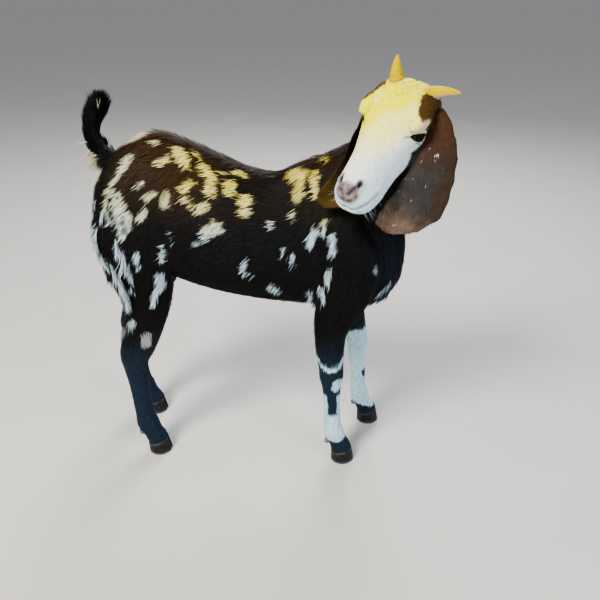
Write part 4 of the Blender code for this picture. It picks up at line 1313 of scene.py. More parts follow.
# One mesh of tapered three-sided tufts, each with its own patch on the map. A tuft starts along
# its lie, turns by its curl, sways by its wave, stands off the skin and sags.
def hairMesh(name, hairs, rows, material):
    root, normal, lie = hairs["root"], hairs["normal"], hairs["lie"]
    length, width = hairs["length"], hairs["width"]
    count = len(root)
    side = unit(np.cross(normal, lie))
    curl = np.where(np.abs(hairs["curl"]) < 1e-3, 1e-3, hairs["curl"])
    shares = np.linspace(0, 1, rows + 1)
    centres = []
    for share in shares:
        lift = hairs["stand"] * (1 - (1 - share) ** 2) * 0.75
        sway = hairs["wave"] * np.sin(hairs["phase"] + share * hairs["turns"]) * share
        along = np.sin(curl * share) / curl
        aside = (1 - np.cos(curl * share)) / curl + sway
        point = root + lie * (along * length)[:, None] + side * (aside * length)[:, None]
        point = point + normal * (length * lift - hairs["sink"] * (1 - share) ** 2)[:, None]
        point = point + hairs["pull"] * (hairs["gather"] * share**1.6)[:, None]
        point = point - np.array([0, 0, 1.0]) * (hairs["sag"] * length * share**2)[:, None]
        centres.append(point)
    centres = np.stack(centres, axis=1)
    way = unit(np.gradient(centres, axis=1))
    across = unit(np.cross(normal[:, None], way))
    above = unit(np.cross(way, across))
    taper = np.interp(shares, tuftLook["shares"], tuftLook["widths"])
    half = width[:, None] * taper[None, :] / 2
    corners = ((-1.0, 0.0), (1.0, 0.0), (0.0, 1.0))
    levels = []
    for at in range(rows):
        for left, up in corners:
            levels.append(
                centres[:, at]
                + across[:, at] * (half[:, at] * left)[:, None]
                + above[:, at] * (half[:, at] * up * hairs["rise"])[:, None]
            )
    levels.append(centres[:, rows])
    points = np.stack(levels, axis=1).reshape(-1, 3)
    each = rows * 3 + 1
    faces = [(2, 1, 0)]
    for at in range(rows - 1):
        for corner in range(3):
            after = (corner + 1) % 3
            low, high = at * 3, at * 3 + 3
            faces.append((low + corner, low + after, high + after))
            faces.append((low + corner, high + after, high + corner))
    last = (rows - 1) * 3
    for corner in range(3):
        faces.append((last + corner, last + (corner + 1) % 3, each - 1))
    pattern = np.array(faces)
    triangles = (pattern[None] + (np.arange(count) * each)[:, None, None]).reshape(-1, 3)
    mesh = bpy.data.meshes.new(name)
    mesh.vertices.add(len(points))
    mesh.vertices.foreach_set("co", (points + shift).astype(np.float32).ravel())
    mesh.loops.add(len(triangles) * 3)
    mesh.loops.foreach_set("vertex_index", triangles.ravel().astype(np.int32))
    mesh.polygons.add(len(triangles))
    mesh.polygons.foreach_set("loop_start", np.arange(0, len(triangles) * 3, 3, dtype=np.int32))
    mesh.polygons.foreach_set("use_smooth", np.ones(len(triangles), bool))
    mesh.update(calc_edges=True)
    own = tuftLook["shade"]
    facings = []
    for at in range(rows):
        for left, up in corners:
            facings.append(normal + own * (across[:, at] * left + above[:, at] * up))
    facings.append(normal + own * above[:, rows])
    facings = unit(np.stack(facings, axis=1).reshape(-1, 3))
    mesh.normals_split_custom_set_from_vertices(facings.tolist())
    item = linked(name, mesh)
    # Painted shade: each tuft darkens towards its root and lightens a little to its tip
    climb = np.append(np.repeat(shares[:rows], 3), 1.0)
    depth = 1 - (1 - hairs["deep"][:, None]) * (1 - np.minimum(climb * 2.2, 1))[None, :]
    colours = hairs["colour"][:, None, :] * (depth * (0.97 + 0.08 * climb))[:, :, None]
    paint(item, np.clip(colours, 0, 1).reshape(-1, 3))
    spread = tuftLook["patch"]
    local = np.zeros((each, 2))
    for at in range(rows):
        for corner, (left, up) in enumerate(corners):
            local[at * 3 + corner] = (left * 0.5 + up * 0.3, shares[at] - 0.5)
    local[each - 1] = (0, 0.5)
    chart = hairs["chart"][:, None, :] * (1 - 2 * spread) + spread + local[None] * spread
    layer = mesh.uv_layers.new(name="OFBake")
    chosen = chart.reshape(-1, 2)[triangles.ravel()]
    layer.data.foreach_set("uv", chosen.astype(np.float32).ravel())
    mesh.materials.append(material)
    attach(item, "root")
    return item


# An unwrap round an axis: the turn about it and the way along it, over the unit square.
def chartOf(points, axisPoint, axisWay):
    way = unit(np.array(axisWay, float))
    away = points - np.array(axisPoint)
    along = away @ way
    first = unit(np.cross(way, (0.3, 1.0, 0.2)))
    second = np.cross(way, first)
    turn = np.arctan2(away @ first, away @ second)
    order = np.sort(turn)
    gaps = np.diff(np.append(order, order[0] + 2 * np.pi))
    start = order[(np.argmax(gaps) + 1) % len(order)]
    turn = (turn - start) % (2 * np.pi)
    flat = np.stack([turn, along], axis=1)
    flat -= flat.min(axis=0)
    return flat / np.maximum(flat.max(axis=0), 1e-9)


# Each kind of hair; "at" is the share of its length where its colour is read from the coat
trunkHair = {
    "count": 80000,
    "rows": 2,
    "length": 0.0180,
    "width": (0.00065, 0.00115),
    "clump": 9,
    "at": 0.42,
    "blur": 0.0006,
    "stray": 0.0015,
    "whiter": 0.20,
    "alone": 0.07,
}
headHair = {
    "count": 25000,
    "rows": 2,
    "length": 0.0046,
    "width": (0.0005, 0.0009),
    "clump": 6,
    "at": 0.3,
}
legHair = {
    "count": 21000,
    "rows": 2,
    "length": 0.0062,
    "width": (0.0007, 0.0012),
    "clump": 6,
    "at": 0.35,
    "lowest": 0.021,
}
tailHair = {
    "count": 4200,
    "rows": 3,
    "length": 0.025,
    "width": (0.0009, 0.0016),
    "clump": 12,
    "at": 0.8,
    "top": 0.692,
    "shortest": 0.012,
}
curlHair = {
    "strands": 26,
    "rows": 8,
    "width": (0.0007, 0.0012),
    "spread": 0.0024,
    "dark": 0.16,
}
fluffHair = {
    "count": 170,
    "rows": 5,
    "length": 0.026,
    "width": (0.0008, 0.0014),
    "middle": (-0.247, -0.012, 0.578),
    "spread": (0.004, 0.009, 0.011),
}


# Longer on the breeches, along the spine and under the belly.
def trunkLength(points):
    x, y, z = points.T
    breech = ease(-x, 0.185, 0.235) * ease(-z, -0.575, -0.52)
    spine = ease(-np.abs(y), -0.022, -0.008) * ease(z, 0.53, 0.56)
    rump = ease(-x, 0.10, 0.15) * ease(z, 0.58, 0.61)
    length = trunkHair["length"] + 0.013 * breech + 0.004 * spine + 0.004 * rump
    length += 0.005 * ease(-z, -0.40, -0.35) + 0.003 * ease(x, 0.2, 0.25)
    return length, breech, np.maximum(spine, rump)


def growTrunk(surface, draw, scale):
    count = int(trunkHair["count"] * scale)
    weights = np.isin(surface.zone, (0, 1)).astype(float)
    upper = (surface.zone >= 4) & (surface.middles[:, 2] > 0.27)
    weights += upper * 0.9
    weights *= 1 + 0.5 * ease(-surface.middles[:, 0], 0.19, 0.24)
    for row in earRoute("right"):  # no hair pokes through the ear
        weights[np.linalg.norm(surface.middles - row[:3], axis=1) < row[3] * 0.75] = 0
    root, normal, zone = surface.roots(weights, count, draw)
    lie = lieAt(root, normal, zone)
    swirl = 0.40 * noise(root, 0.045, 21) + 0.22 * noise(root, 0.014, 22)
    lie = turned(lie, normal, swirl + draw.normal(0, 0.09, count))
    length, breech, rough = trunkLength(root)
    upperLeg = (zone >= 4) * ease(-root[:, 2], -0.36, -0.27)
    length = length * (1 - 0.40 * upperLeg)
    near = headness(root + np.array([0.02, -0.02, 0.03])) * (zone == 1)
    length = length * (1 - 0.4 * near)
    length *= draw.uniform(0.75, 1.2, count)
    pull, leader = clumpPull(root, lie, length, trunkHair["clump"], draw)
    stray = draw.normal(0, trunkHair["stray"], count)
    spots = root + lie * (length * trunkHair["at"])[:, None]
    colour, pale = coatAt(spots, zone, trunkHair["blur"], stray)
    dark = colour * shades(draw, count, 1.0, 0.25, 0.4, 2.0)
    light = colour * shades(draw, count, 0.98, 0.13, 0.55, 1.2)
    whiter = (draw.random(count) < trunkHair["whiter"]) * 0.35
    blend(light, whiter, colourOf["white"])
    alone = draw.random(count) < trunkHair["alone"] + 0.20 * breech
    light[alone] = darkCoat(root[alone]) * 1.6
    colour = dark + pale[:, None] * (light - dark)
    stand = 0.10 + 0.08 * draw.random(count) + 0.10 * rough + 0.06 * breech
    return hairsOf(
        (root, normal, lie), length, draw,
        width=draw.uniform(*trunkHair["width"], count),
        stand=stand + 0.03 * pale,
        curl=draw.normal(0, 0.2, count) + 0.5 * noise(root, 0.03, 24),
        wave=0.02 + 0.08 * breech + 0.03 * draw.random(count),
        phase=noise(root[leader], 0.02, 25) * 3 + draw.uniform(-0.4, 0.4, count),
        turns=3.0 + 3.0 * breech,
        pull=pull,
        gather=0.42,
        sag=0.02 + 0.10 * breech,
        colour=colour,
        deep=0.55 + 0.17 * pale,
    )


def growHead(surface, draw, scale):
    count = int(headHair["count"] * scale)
    weights = (surface.zone == 2).astype(float)
    local = toHead(surface.middles)
    slits = slitDistance(local)
    weights *= 1 - 0.8 * ease(local[:, 0], 0.170, 0.184)
    weights *= ease(slits, 0.004, 0.007)
    weights *= ease(lineDistance(local[:, (0, 2)], mouthLine), 0.0015, 0.003)
    for way in (1, -1):
        across, upright, out = toEye(local, way)
        inside = lidInside(across, upright, 1.12, 1.24)
        weights[(inside < 1) & (out > -0.008)] = 0
    root, normal, zone = surface.roots(weights, count, draw)
    local = toHead(root)
    lie = lieAt(root, normal, zone)
    lie = turned(lie, normal, 0.30 * noise(root, 0.022, 31) + draw.normal(0, 0.12, count))
    length = headHair["length"] + 0.0062 * ease(-local[:, 0], -0.080, -0.010)
    length += 0.004 * ease(-local[:, 2], 0.085, 0.105)
    length -= 0.0018 * ease(local[:, 0], 0.13, 0.18)
    length *= draw.uniform(0.8, 1.25, count)
    pull, _ = clumpPull(root, lie, length, headHair["clump"], draw)
    colour, _ = coatAt(root + lie * (length * headHair["at"])[:, None], zone)
    colour = colour * shades(draw, count, 1.02, 0.035, 0.92, 1.1)
    return hairsOf(
        (root, normal, lie), length, draw,
        width=draw.uniform(*headHair["width"], count),
        stand=0.06 + 0.05 * draw.random(count) + 0.08 * ease(-local[:, 0], -0.05, 0.0),
        pull=pull,
        colour=colour,
        deep=1.0,
        rise=0.30,
    )


def growLegs(surface, draw, scale):
    count = int(legHair["count"] * scale)
    level = surface.middles[:, 2]
    weights = (surface.zone >= 4) & (level < legTop) & (level > legHair["lowest"])
    weights = weights * np.clip(1.2 - level / 0.6, 0.3, 1.0)
    root, normal, zone = surface.roots(weights, count, draw)
    lie = lieAt(root, normal, zone)
    lie = turned(lie, normal, 0.2 * noise(root, 0.02, 41) + draw.normal(0, 0.10, count))
    level = root[:, 2]
    length = legHair["length"] + 0.007 * ease(level, 0.16, 0.30)
    length += 0.004 * ease(-level, -0.052, -0.030)
    length *= draw.uniform(0.8, 1.25, count)
    pull, _ = clumpPull(root, lie, length, legHair["clump"], draw)
    colour, pale = coatAt(root + lie * (length * legHair["at"])[:, None], zone)
    varied = draw.normal(0, 1, count) * (0.22 - 0.17 * pale)
    colour = colour * np.clip(1 + varied, 0.5, 1.7)[:, None]
    return hairsOf(
        (root, normal, lie), length, draw,
        width=draw.uniform(*legHair["width"], count),
        stand=0.10 + 0.06 * draw.random(count),
        pull=pull,
        colour=colour,
        deep=0.65 + 0.25 * pale,
    )


# The brush of the tail: the hair stands up along the core and ends in one blunt top.
def growTail(surface, draw, scale):
    count = int(tailHair["count"] * scale)
    weights = (surface.zone == 3) * (0.6 + ease(surface.middles[:, 2], 0.60, 0.65))
    root, normal, zone = surface.roots(weights, count, draw)
    lie = lieAt(root, normal, zone)
    lie = turned(lie, normal, draw.normal(0, 0.12, count))
    level = ease(root[:, 2], 0.60, 0.65)
    length = tailHair["length"] * (0.75 + 0.5 * level) * draw.uniform(0.75, 1.2, count)
    room = (tailHair["top"] - root[:, 2]) * draw.uniform(0.85, 1.12, count)
    length = np.maximum(np.minimum(length, room), tailHair["shortest"])
    pull, _ = clumpPull(root, lie, length, tailHair["clump"], draw)
    colour, pale = coatAt(root + lie * (length * tailHair["at"])[:, None], zone)
    black = colourOf["black"] * shades(draw, count, 0.6, 0.2, 0.2, 1.4)
    colour = black + pale[:, None] * (colour - black)
    return hairsOf(
        (root, normal, lie), length, draw,
        width=draw.uniform(*tailHair["width"], count),
        stand=0.20 + 0.14 * draw.random(count) + 0.10 * level,
        wave=0.05 + 0.05 * draw.random(count),
        pull=pull,
        gather=0.45,
        sag=-0.05,
        colour=colour,
        deep=0.6,
    )


# Long pale curls of the breeches: root, way at the root, turn by the tip, length
breechCurls = (
    ((-0.236, -0.078, 0.498), (-0.25, -0.1, -1.0), 0.5, 0.036),
    ((-0.239, -0.077, 0.476), (-0.20, -0.1, -1.0), 0.9, 0.038),
    ((-0.238, -0.077, 0.454), (-0.05, -0.1, -1.0), 1.7, 0.036),
    ((-0.234, -0.080, 0.440), (0.35, -0.1, -1.0), 1.0, 0.030),
    ((-0.204, -0.089, 0.474), (0.35, -0.1, -1.0), -0.4, 0.036),
    ((-0.197, -0.092, 0.454), (0.45, -0.1, -1.0), -1.1, 0.042),
    ((-0.226, -0.084, 0.432), (1.00, -0.1, -0.3), -1.5, 0.050),
    ((-0.221, -0.086, 0.416), (1.00, -0.1, -0.1), -1.9, 0.056),
    ((-0.217, -0.087, 0.400), (1.00, -0.1, -0.1), -2.0, 0.054),
    ((-0.213, -0.086, 0.384), (1.00, -0.1, -0.1), -2.1, 0.050),
    ((-0.210, -0.084, 0.370), (1.00, -0.1, -0.2), -2.1, 0.040),
    ((-0.246, -0.045, 0.530), (-0.55, -0.1, -1.0), 1.5, 0.024),
    ((-0.222, -0.074, 0.520), (-0.30, -0.1, -1.0), 0.8, 0.026),
)


def growCurls(skinTree, draw, scale):
    gathered = []
    for mirror in (1, -1):
        for root, way, turn, length in breechCurls:
            strands = max(3, int(curlHair["strands"] * scale**0.5))
            aside = draw.normal(0, 1, (strands, 2)) * curlHair["spread"]
            spots = np.tile(root, (strands, 1)) + np.insert(aside * (0.6, 1), 1, 0, axis=1)
            spots[:, 1] *= mirror
            near, normal = onSkin(skinTree, spots)
            lie = np.tile(np.array(way, float) * (1, mirror, 1), (strands, 1))
            lie += draw.normal(0, 0.07, (strands, 3))
            lie = flattened(lie, normal)
            dark = draw.random(strands) < curlHair["dark"]
            colour = colourOf["white"] * draw.uniform(0.72, 1.0, (strands, 1))
            colour[dark] = colourOf["black"]
            hairs = hairsOf(
                (near, normal, lie), length * draw.uniform(0.8, 1.15, strands), draw,
                width=draw.uniform(*curlHair["width"], strands),
                stand=0.24 + 0.10 * draw.random(strands),
                curl=mirror * (turn + draw.normal(0, 0.18, strands)),
                wave=0.02 + 0.02 * draw.random(strands),
                pull=near.mean(axis=0) - near,
                gather=0.45,
                sag=0.04,
                colour=colour,
                deep=0.6,
            )
            gathered.append(hairs)
    return mergedHairs(*gathered)


# Pale fluff that stands out behind, under the root of the tail.
def growFluff(skinTree, draw, scale):
    count = max(20, int(fluffHair["count"] * scale))
    spots = draw.normal(0, 1, (count, 3)) * fluffHair["spread"] + fluffHair["middle"]
    near, normal = onSkin(skinTree, spots)
    lie = np.tile([-0.9, -0.1, -0.28], (count, 1)) + draw.normal(0, 0.2, (count, 3))
    lie = flattened(lie, normal, 0.4)
    colour = colourOf["cream"] * draw.uniform(0.7, 1.0, (count, 1)) * (1.0, 0.93, 0.86)
    return hairsOf(
        (near, normal, lie), fluffHair["length"] * draw.uniform(0.5, 1.1, count), draw,
        width=draw.uniform(*fluffHair["width"], count),
        stand=0.05,
        sag=0.30,
        colour=colour,
        deep=0.6,
    )


# Lashes on the upper lids, whiskers round the muzzle and a few longer hairs on the chin
whiskerHair = {
    "lashes": 22,
    "lashLength": 0.0062,
    "whiskers": 34,
    "whiskerLength": 0.015,
    "chin": 90,
    "chinLength": 0.013,
    "width": (0.0003, 0.0005),
}


def growWhiskers(skinTree, draw):
    spots, ways, lengths, colours = [], [], [], []

    def add(local, way, length, colour):
        spots.append(headPoint(np.array(local)))
        ways.append(unit(np.array(way, float) @ headAxes))
        lengths.append(length * draw.uniform(0.7, 1.15))
        colours.append(colour * draw.uniform(0.85, 1.1))

    for way in (1, -1):
        for angle in np.radians(np.linspace(12, 168, whiskerHair["lashes"])):
            along = lidHalfLength * math.cos(angle)
            rise = lidHalfHeight * lidArch[0] * math.sin(angle) ** 1.3
            out = math.sqrt((eyeRadius + 0.0015) ** 2 - along**2 - rise**2)
            local = eyePlace(way) + (along, rise, out) @ lidAxes(way)
            toward = np.array((0.5 * math.cos(angle), 0.25, 1.0)) @ lidAxes(way)
            add(local, toward, whiskerHair["lashLength"], colourOf["dark"])
    for number in range(whiskerHair["whiskers"]):
        side = 1 if number % 2 else -1
        reach = draw.uniform(0.148, 0.184)
        height = draw.uniform(-0.094, -0.066)
        toward = (0.45 + draw.normal(0, 0.2), side * 0.9, -0.45 + draw.normal(0, 0.25))
        local = (reach, side * 0.024, height)
        add(local, toward, whiskerHair["whiskerLength"], colourOf["white"])
    for _ in range(whiskerHair["chin"]):
        local = (draw.uniform(0.132, 0.176), draw.normal(0, 0.008), -0.106)
        toward = (-0.25 + draw.normal(0, 0.15), draw.normal(0, 0.15), -1)
        add(local, toward, whiskerHair["chinLength"], colourOf["white"])
    near, normal = onSkin(skinTree, spots)
    return hairsOf(
        (near, normal, np.array(ways)), np.array(lengths), draw,
        width=draw.uniform(*whiskerHair["width"], len(spots)),
        stand=0.10,
        sag=0.12,
        colour=np.array(colours),
        deep=1.0,
    )


def mergedHairs(*groups):
    return {key: np.concatenate([group[key] for group in groups]) for key in groups[0]}


def pickHairs(hairs, chosen):
    return {key: value[chosen] for key, value in hairs.items()}


sides = (("right", -1), ("left", 1))

# The point and the way of the axis that each part is unwrapped round
chartAxes = {
    "torso": ((0, 0, 0.48), (1, 0, 0)),
    "neck": ((0.215, -0.01, 0.58), (0.55, -0.25, 0.8)),
    "head": (headPoint((0.07, 0, -0.045)), forward),
    "tail": ((-0.240, 0, 0.63), (0.1, 0, 1)),
    "dock": ((-0.22, 0, 0.58), (0, 0, 1)),
}


# Every coat piece, each under the limit and with an unwrap of its own part.
def growCoat(skin, surface, scale):
    draw = np.random.default_rng(5)
    material = hairMaterial()
    skinTree = BVHTree.FromObject(skin, bpy.context.evaluated_depsgraph_get())
    trunk = growTrunk(surface, draw, scale)
    x, y, z = trunk["root"].T
    zone = zonesOf(trunk["root"])
    limb = (zone >= 4) | ((z < 0.44) & (np.abs(y) > 0.03) & ((x < -0.12) | (x > 0.12)))
    total = 0

    def add(name, hairs, rows, axis, slotName):
        nonlocal total
        hairs["chart"] = chartOf(hairs["root"], *axis)
        total += len(hairMesh(name, hairs, rows, material).data.polygons)

    rows = trunkHair["rows"]
    for label, side in sides:
        own = (y * side >= 0) & ~limb & (zone != 1)
        edges = np.quantile(x[own], (0, 0.5, 1))
        for part in range(2):
            band = own & (x >= edges[part]) & (x <= edges[part + 1])
            name = f"coat_torso_{label}_{part + 1}"
            add(name, pickHairs(trunk, band), rows, chartAxes["torso"], "coat_body")
        for end, way in (("fore", 1), ("hind", -1)):
            own = limb & (y * side >= 0) & (x * way > 0)
            axis = ((0.165 if way > 0 else -0.185, side * stance, 0.4), (0, 0, 1))
            add(f"coat_{end}limb_{label}", pickHairs(trunk, own), rows, axis, "coat_body")
    neck = pickHairs(trunk, (zone == 1) & ~limb)
    add("coat_neck", neck, rows, chartAxes["neck"], "coat_body")
    head = growHead(surface, draw, scale)
    head = mergedHairs(head, growWhiskers(skinTree, np.random.default_rng(11)))
    side = toHead(head["root"])[:, 1]
    for label, way in sides:
        own = pickHairs(head, side * way >= 0)
        add("coat_head_" + label, own, headHair["rows"], chartAxes["head"], "coat_head")
    tail = growTail(surface, draw, scale)
    add("coat_tail", tail, tailHair["rows"], chartAxes["tail"], "coat_tail")
    curls = growCurls(skinTree, draw, scale)
    for label, way in sides:
        own = pickHairs(curls, curls["root"][:, 1] * way > 0)
        axis = ((-0.18, way * 0.05, 0.45), (0, 0, 1))
        add("coat_breech_" + label, own, curlHair["rows"], axis, "coat_body")
    fluff = growFluff(skinTree, draw, scale)
    add("coat_dock", fluff, fluffHair["rows"], chartAxes["dock"], "coat_body")
    low = growLegs(surface, draw, scale)
    for name in legs:
        fore = name.startswith("fore")
        side = legs[name][1]
        own = (low["root"][:, 1] * side > 0) & ((low["root"][:, 0] > 0) == fore)
        axis = ((0.175 if fore else -0.21, side * stance, 0.1), (0, 0, 1))
        add("coat_" + name, pickHairs(low, own), legHair["rows"], axis, "coat_legs")
    say("coat", total, "triangles")
    return material


# Ears: midlines from the root down, half width and the way across

leftEar = (
    (0.2750, -0.0920, 0.6770, 0.012, 0.45, 0.10, 0.80),
    (0.2840, -0.1000, 0.6800, 0.014, 0.60, 0.20, 0.70),
    (0.2895, -0.1070, 0.6680, 0.018, 0.85, 0.10, 0.40),
    (0.2930, -0.1130, 0.6490, 0.022, 0.95, 0.10, 0.15),
    (0.2915, -0.1175, 0.6260, 0.029, 1.00, 0.12, 0.05),
    (0.2845, -0.1170, 0.5980, 0.036, 1.00, 0.10, 0.00),
    (0.2745, -0.1140, 0.5680, 0.043, 1.00, 0.04, 0.05),
    (0.2640, -0.1115, 0.5400, 0.045, 1.00, 0.00, -0.08),
    (0.2500, -0.1110, 0.5230, 0.037, 1.00, 0.00, -0.14),
    (0.2420, -0.1105, 0.5130, 0.024, 1.00, 0.00, -0.20),
    (0.2360, -0.1100, 0.5080, 0.009, 1.00, 0.00, -0.25),
)
rightEar = (
    (0.2200, -0.0560, 0.6850, 0.012, 0.50, 0.40, 0.70),
    (0.2090, -0.0500, 0.6850, 0.016, 0.60, 0.50, 0.60),
    (0.2000, -0.0490, 0.6730, 0.019, 0.60, 0.70, 0.20),
    (0.1920, -0.0520, 0.6510, 0.021, 0.70, 0.72, 0.00),
    (0.1850, -0.0585, 0.6290, 0.022, 0.78, 0.62, 0.00),
    (0.1800, -0.0660, 0.6080, 0.023, 0.87, 0.48, -0.05),
    (0.1710, -0.0725, 0.5870, 0.024, 0.92, 0.30, -0.20),
    (0.1595, -0.0800, 0.5640, 0.026, 0.90, 0.15, -0.35),
    (0.1430, -0.0860, 0.5500, 0.020, 0.80, 0.10, -0.55),
    (0.1290, -0.0890, 0.5440, 0.008, 0.70, 0.10, -0.70),
)
earLook = {
    "thickness": 0.0036,
    "rootThickness": 0.008,
    "rootCurl": 0.35,
    "cup": 0.22,
    "left": {"route": leftEar, "outward": (0.6, -0.8, 0)},
    "right": {"route": rightEar, "outward": (-0.8, -0.2, 0)},
    "dark": (0.024, 0.013, 0.009),
    "top": (0.060, 0.026, 0.012),
    "grey": (0.046, 0.043, 0.040),
    "brown": (0.060, 0.035, 0.021),
    "rust": (0.220, 0.150, 0.105),
    "goldLight": (0.088, 0.055, 0.012),
    "speck": (0.45, 0.40, 0.36),
    "skin": {
        "grain": 330,
        "stretch": (1, 1, 0.2),
        "light": (0.70, 1.05),
        "bump": (0.5, 0.0010),
        "roughness": 0.58,
        "specular": 0.16,
    },
}
earHair = {"count": 5200, "rows": 2, "length": 0.0062, "width": (0.0006, 0.0011), "clump": 8}
earParts = 7  # rows made between two rows of a route


def earRoute(side):
    return smoothRows(earLook[side]["route"], earParts)


# Colour by the share down the ear and the place across it, from -1 to 1.
def earColour(side, along, across, points):
    blot = noise(points, 0.012, 51)
    if side == "left":
        colour = evenColour(earLook["grey"], len(points))
        blend(colour, ease(across + 0.16 * blot, 0.05, 0.75), earLook["brown"])
        tip = ease(along + 0.06 * blot - 0.06 * across, 0.60, 0.88)
        blend(colour, tip, earLook["rust"])
        blend(colour, ease(-along + 0.06 * blot, -0.50, -0.30), earLook["top"])
    else:
        # The right ear is dark brown with painted shade, and its tip has painted yellow light
        colour = evenColour(earLook["dark"], len(points))
        blend(colour, ease(along + 0.03 * blot, 0.50, 0.90), earLook["goldLight"])
    return colour


def earPiece(side):
    route = earRoute(side)
    hint = np.array(earLook[side]["outward"], float)
    along = unit(np.gradient(route[:, :3], axis=0))
    rings, shares, spots = [], [], []
    count = 36
    breadth = np.linspace(-1, 1, count + 1)
    last = len(route) - 1
    for at, row in enumerate(route):
        across = unit(row[4:7])
        outwardWay = unit(np.cross(across, along[at]))
        if outwardWay @ hint < 0:
            outwardWay = -outwardWay
        hint = outwardWay  # the next ring keeps this one's side
        step = at / earParts
        thick = earLook["thickness"] + earLook["rootThickness"] * max(0, 1 - step / 2)
        cup = earLook["cup"] * min(1, step / 2)
        curl = 1 + earLook["rootCurl"] * max(0, 1 - step / 5)
        half = row[3] * (1 + 0.02 * math.sin(at * 0.9))
        bulge = cup * half * curl * (1 - breadth**2)
        rim = thick / 2 * np.sqrt(np.maximum(1 - breadth**4, 0.05))
        vein = 0.0006 * hump(breadth, 0.08) + 0.0004 * hump(np.abs(breadth) - 0.45, 0.06)
        middle = row[:3] + across * (half * breadth)[:, None] + outwardWay * bulge[:, None]
        ripple = 0.0008 * math.sin(at * 0.55) * breadth**2
        outer = middle + outwardWay * (rim + vein + ripple)[:, None]
        inner = middle - outwardWay * (rim - vein * 0.8 - ripple)[:, None]
        rings.append(np.vstack([outer, inner[::-1]]))
        shares += [at / last] * (2 * count + 2)
        spots += list(breadth) + list(breadth[::-1])
    item = loft("ear_" + side + "_skin", rings)
    points = pointsOf(item)
    nearest = nearestOf(points, np.vstack(rings))
    shares, spots = np.array(shares)[nearest], np.array(spots)[nearest]
    paint(item, np.clip(earColour(side, shares, spots, points), 0, 1))
    item.data.materials.append(coatedMaterial("ear " + side, earLook["skin"]))
    return item, spots


def buildEars(material, scale):
    draw = np.random.default_rng(17)
    for side in ("left", "right"):
        item, spots = earPiece(side)
        surface = Surface(item)
        count = int(earHair["count"] * scale)
        weights = np.ones(len(surface.areas))
        root, normal, _ = surface.roots(weights, count, draw)
        route = earRoute(side)[:, :3]
        at = nearestOf(root, route)
        along = unit(np.gradient(route, axis=0))[at]
        lie = turned(flattened(along, normal), normal, draw.normal(0, 0.22, count))
        length = earHair["length"] * draw.uniform(0.7, 1.3, count)
        pull, _ = clumpPull(root, lie, length, earHair["clump"], draw)
        share = at / (len(route) - 1)
        nearest = BVHTree.FromObject(item, bpy.context.evaluated_depsgraph_get())
        corners = np.array([nearest.find_nearest(point)[2] for point in root])
        first = np.array([item.data.polygons[index].vertices[0] for index in corners])
        colour = earColour(side, share, spots[first], root)
        if side == "left":
            speck = (noise(root, 0.0045, 52) > 0.72) & (spots[first] < 0.1)
            colour[speck] = earLook["speck"]
        colour = colour * shades(draw, count, 1.15, 0.12, 0.8, 1.6)
        hairs = hairsOf(
            (root, normal, lie), length, draw,
            width=draw.uniform(*earHair["width"], count),
            stand=0.05 + 0.05 * draw.random(count),
            pull=pull,
            sink=0.0006,
            colour=colour,
            deep=1.0,
            rise=0.30,
            chart=chartOf(root, route.mean(axis=0), (0, 0, 1)),
        )
        hairMesh(f"coat_ear_{side}", hairs, earHair["rows"], material)
        place(item, (f"ear_{side}",))
    say("ears")


# Eyes

eyeLook = {
    "pupil": (0.0035, 0.0034, 0.004),
    "iris": (0.014, 0.007, 0.004),
    "ring": (0.005, 0.004, 0.003),
    "white": (0.03, 0.02, 0.017),
    "pupilHalfLength": 0.52,
    "pupilHalfHeight": 0.20,
    "irisSize": 0.74,
    "surface": {"grain": 900, "light": (0.7, 1.35), "roughness": 0.05, "specular": 0.12},
    "refraction": 1.38,
}


def buildEyes():
    material = coatedMaterial("eye", eyeLook["surface"])
    shader = material.node_tree.nodes["Principled BSDF"]
    shader.inputs["IOR"].default_value = eyeLook["refraction"]
    for side, way in (("left", 1), ("right", -1)):
        centre = eyePlace(way)
        item = ball(f"eyeball_{side}", centre, (eyeRadius - 0.0002,) * 3, 96, 64)
        local = toHead(pointsOf(item)) - centre
        gaze = unit(np.array([0.10, way, 0.03]))
        facing = unit(local) @ gaze
        bulge = ease(facing, 0.72, 0.95) * 0.0009
        local += unit(local) * bulge[:, None]
        across = unit(np.cross(gaze, (0, 0, 1.0)))
        upright = np.cross(across, gaze)
        flat = unit(local)
        u = flat @ across
        v = flat @ upright
        reach = np.hypot(u, v)
        colour = evenColour(eyeLook["white"], len(local))
        size = eyeLook["irisSize"]
        front = facing > 0
        blend(colour, ease(-reach, -size - 0.03, -size + 0.03) * front, eyeLook["ring"])
        blend(colour, ease(-reach, -size * 0.86, -size * 0.70) * front, eyeLook["iris"])
        slot = np.hypot(u / eyeLook["pupilHalfLength"], v / eyeLook["pupilHalfHeight"])
        blend(colour, ease(-slot, -1.1, -0.92) * front, eyeLook["pupil"])
        setPoints(item, headPoint(local + centre))
        smoothShade(item)
        dress(item, colour, material, "eye", f"eye_{side}")
    say("eyes")


# Horns

hornLook = {
    "base": 0.0118,
    "point": 0.0008,
    "flatness": 0.86,
    "left": ((0.012, 0.027, -0.001), (0.010, 0.050, 0.014), (0.000, 0.073, 0.009)),
    "right": ((0.012, -0.026, 0.003), (0.008, -0.029, 0.025), (-0.006, -0.034, 0.036)),
    "yellowLight": (0.540, 0.375, 0.000),
    "grey": (0.400, 0.370, 0.300),
    "tip": (0.420, 0.300, 0.120),
    "surface": {
        "grain": 380,
        "light": (0.75, 1.15),
        "bump": (0.35, 0.0006),
        "roughness": (0.42, 0.62),
        "specular": 0.06,
    },
}


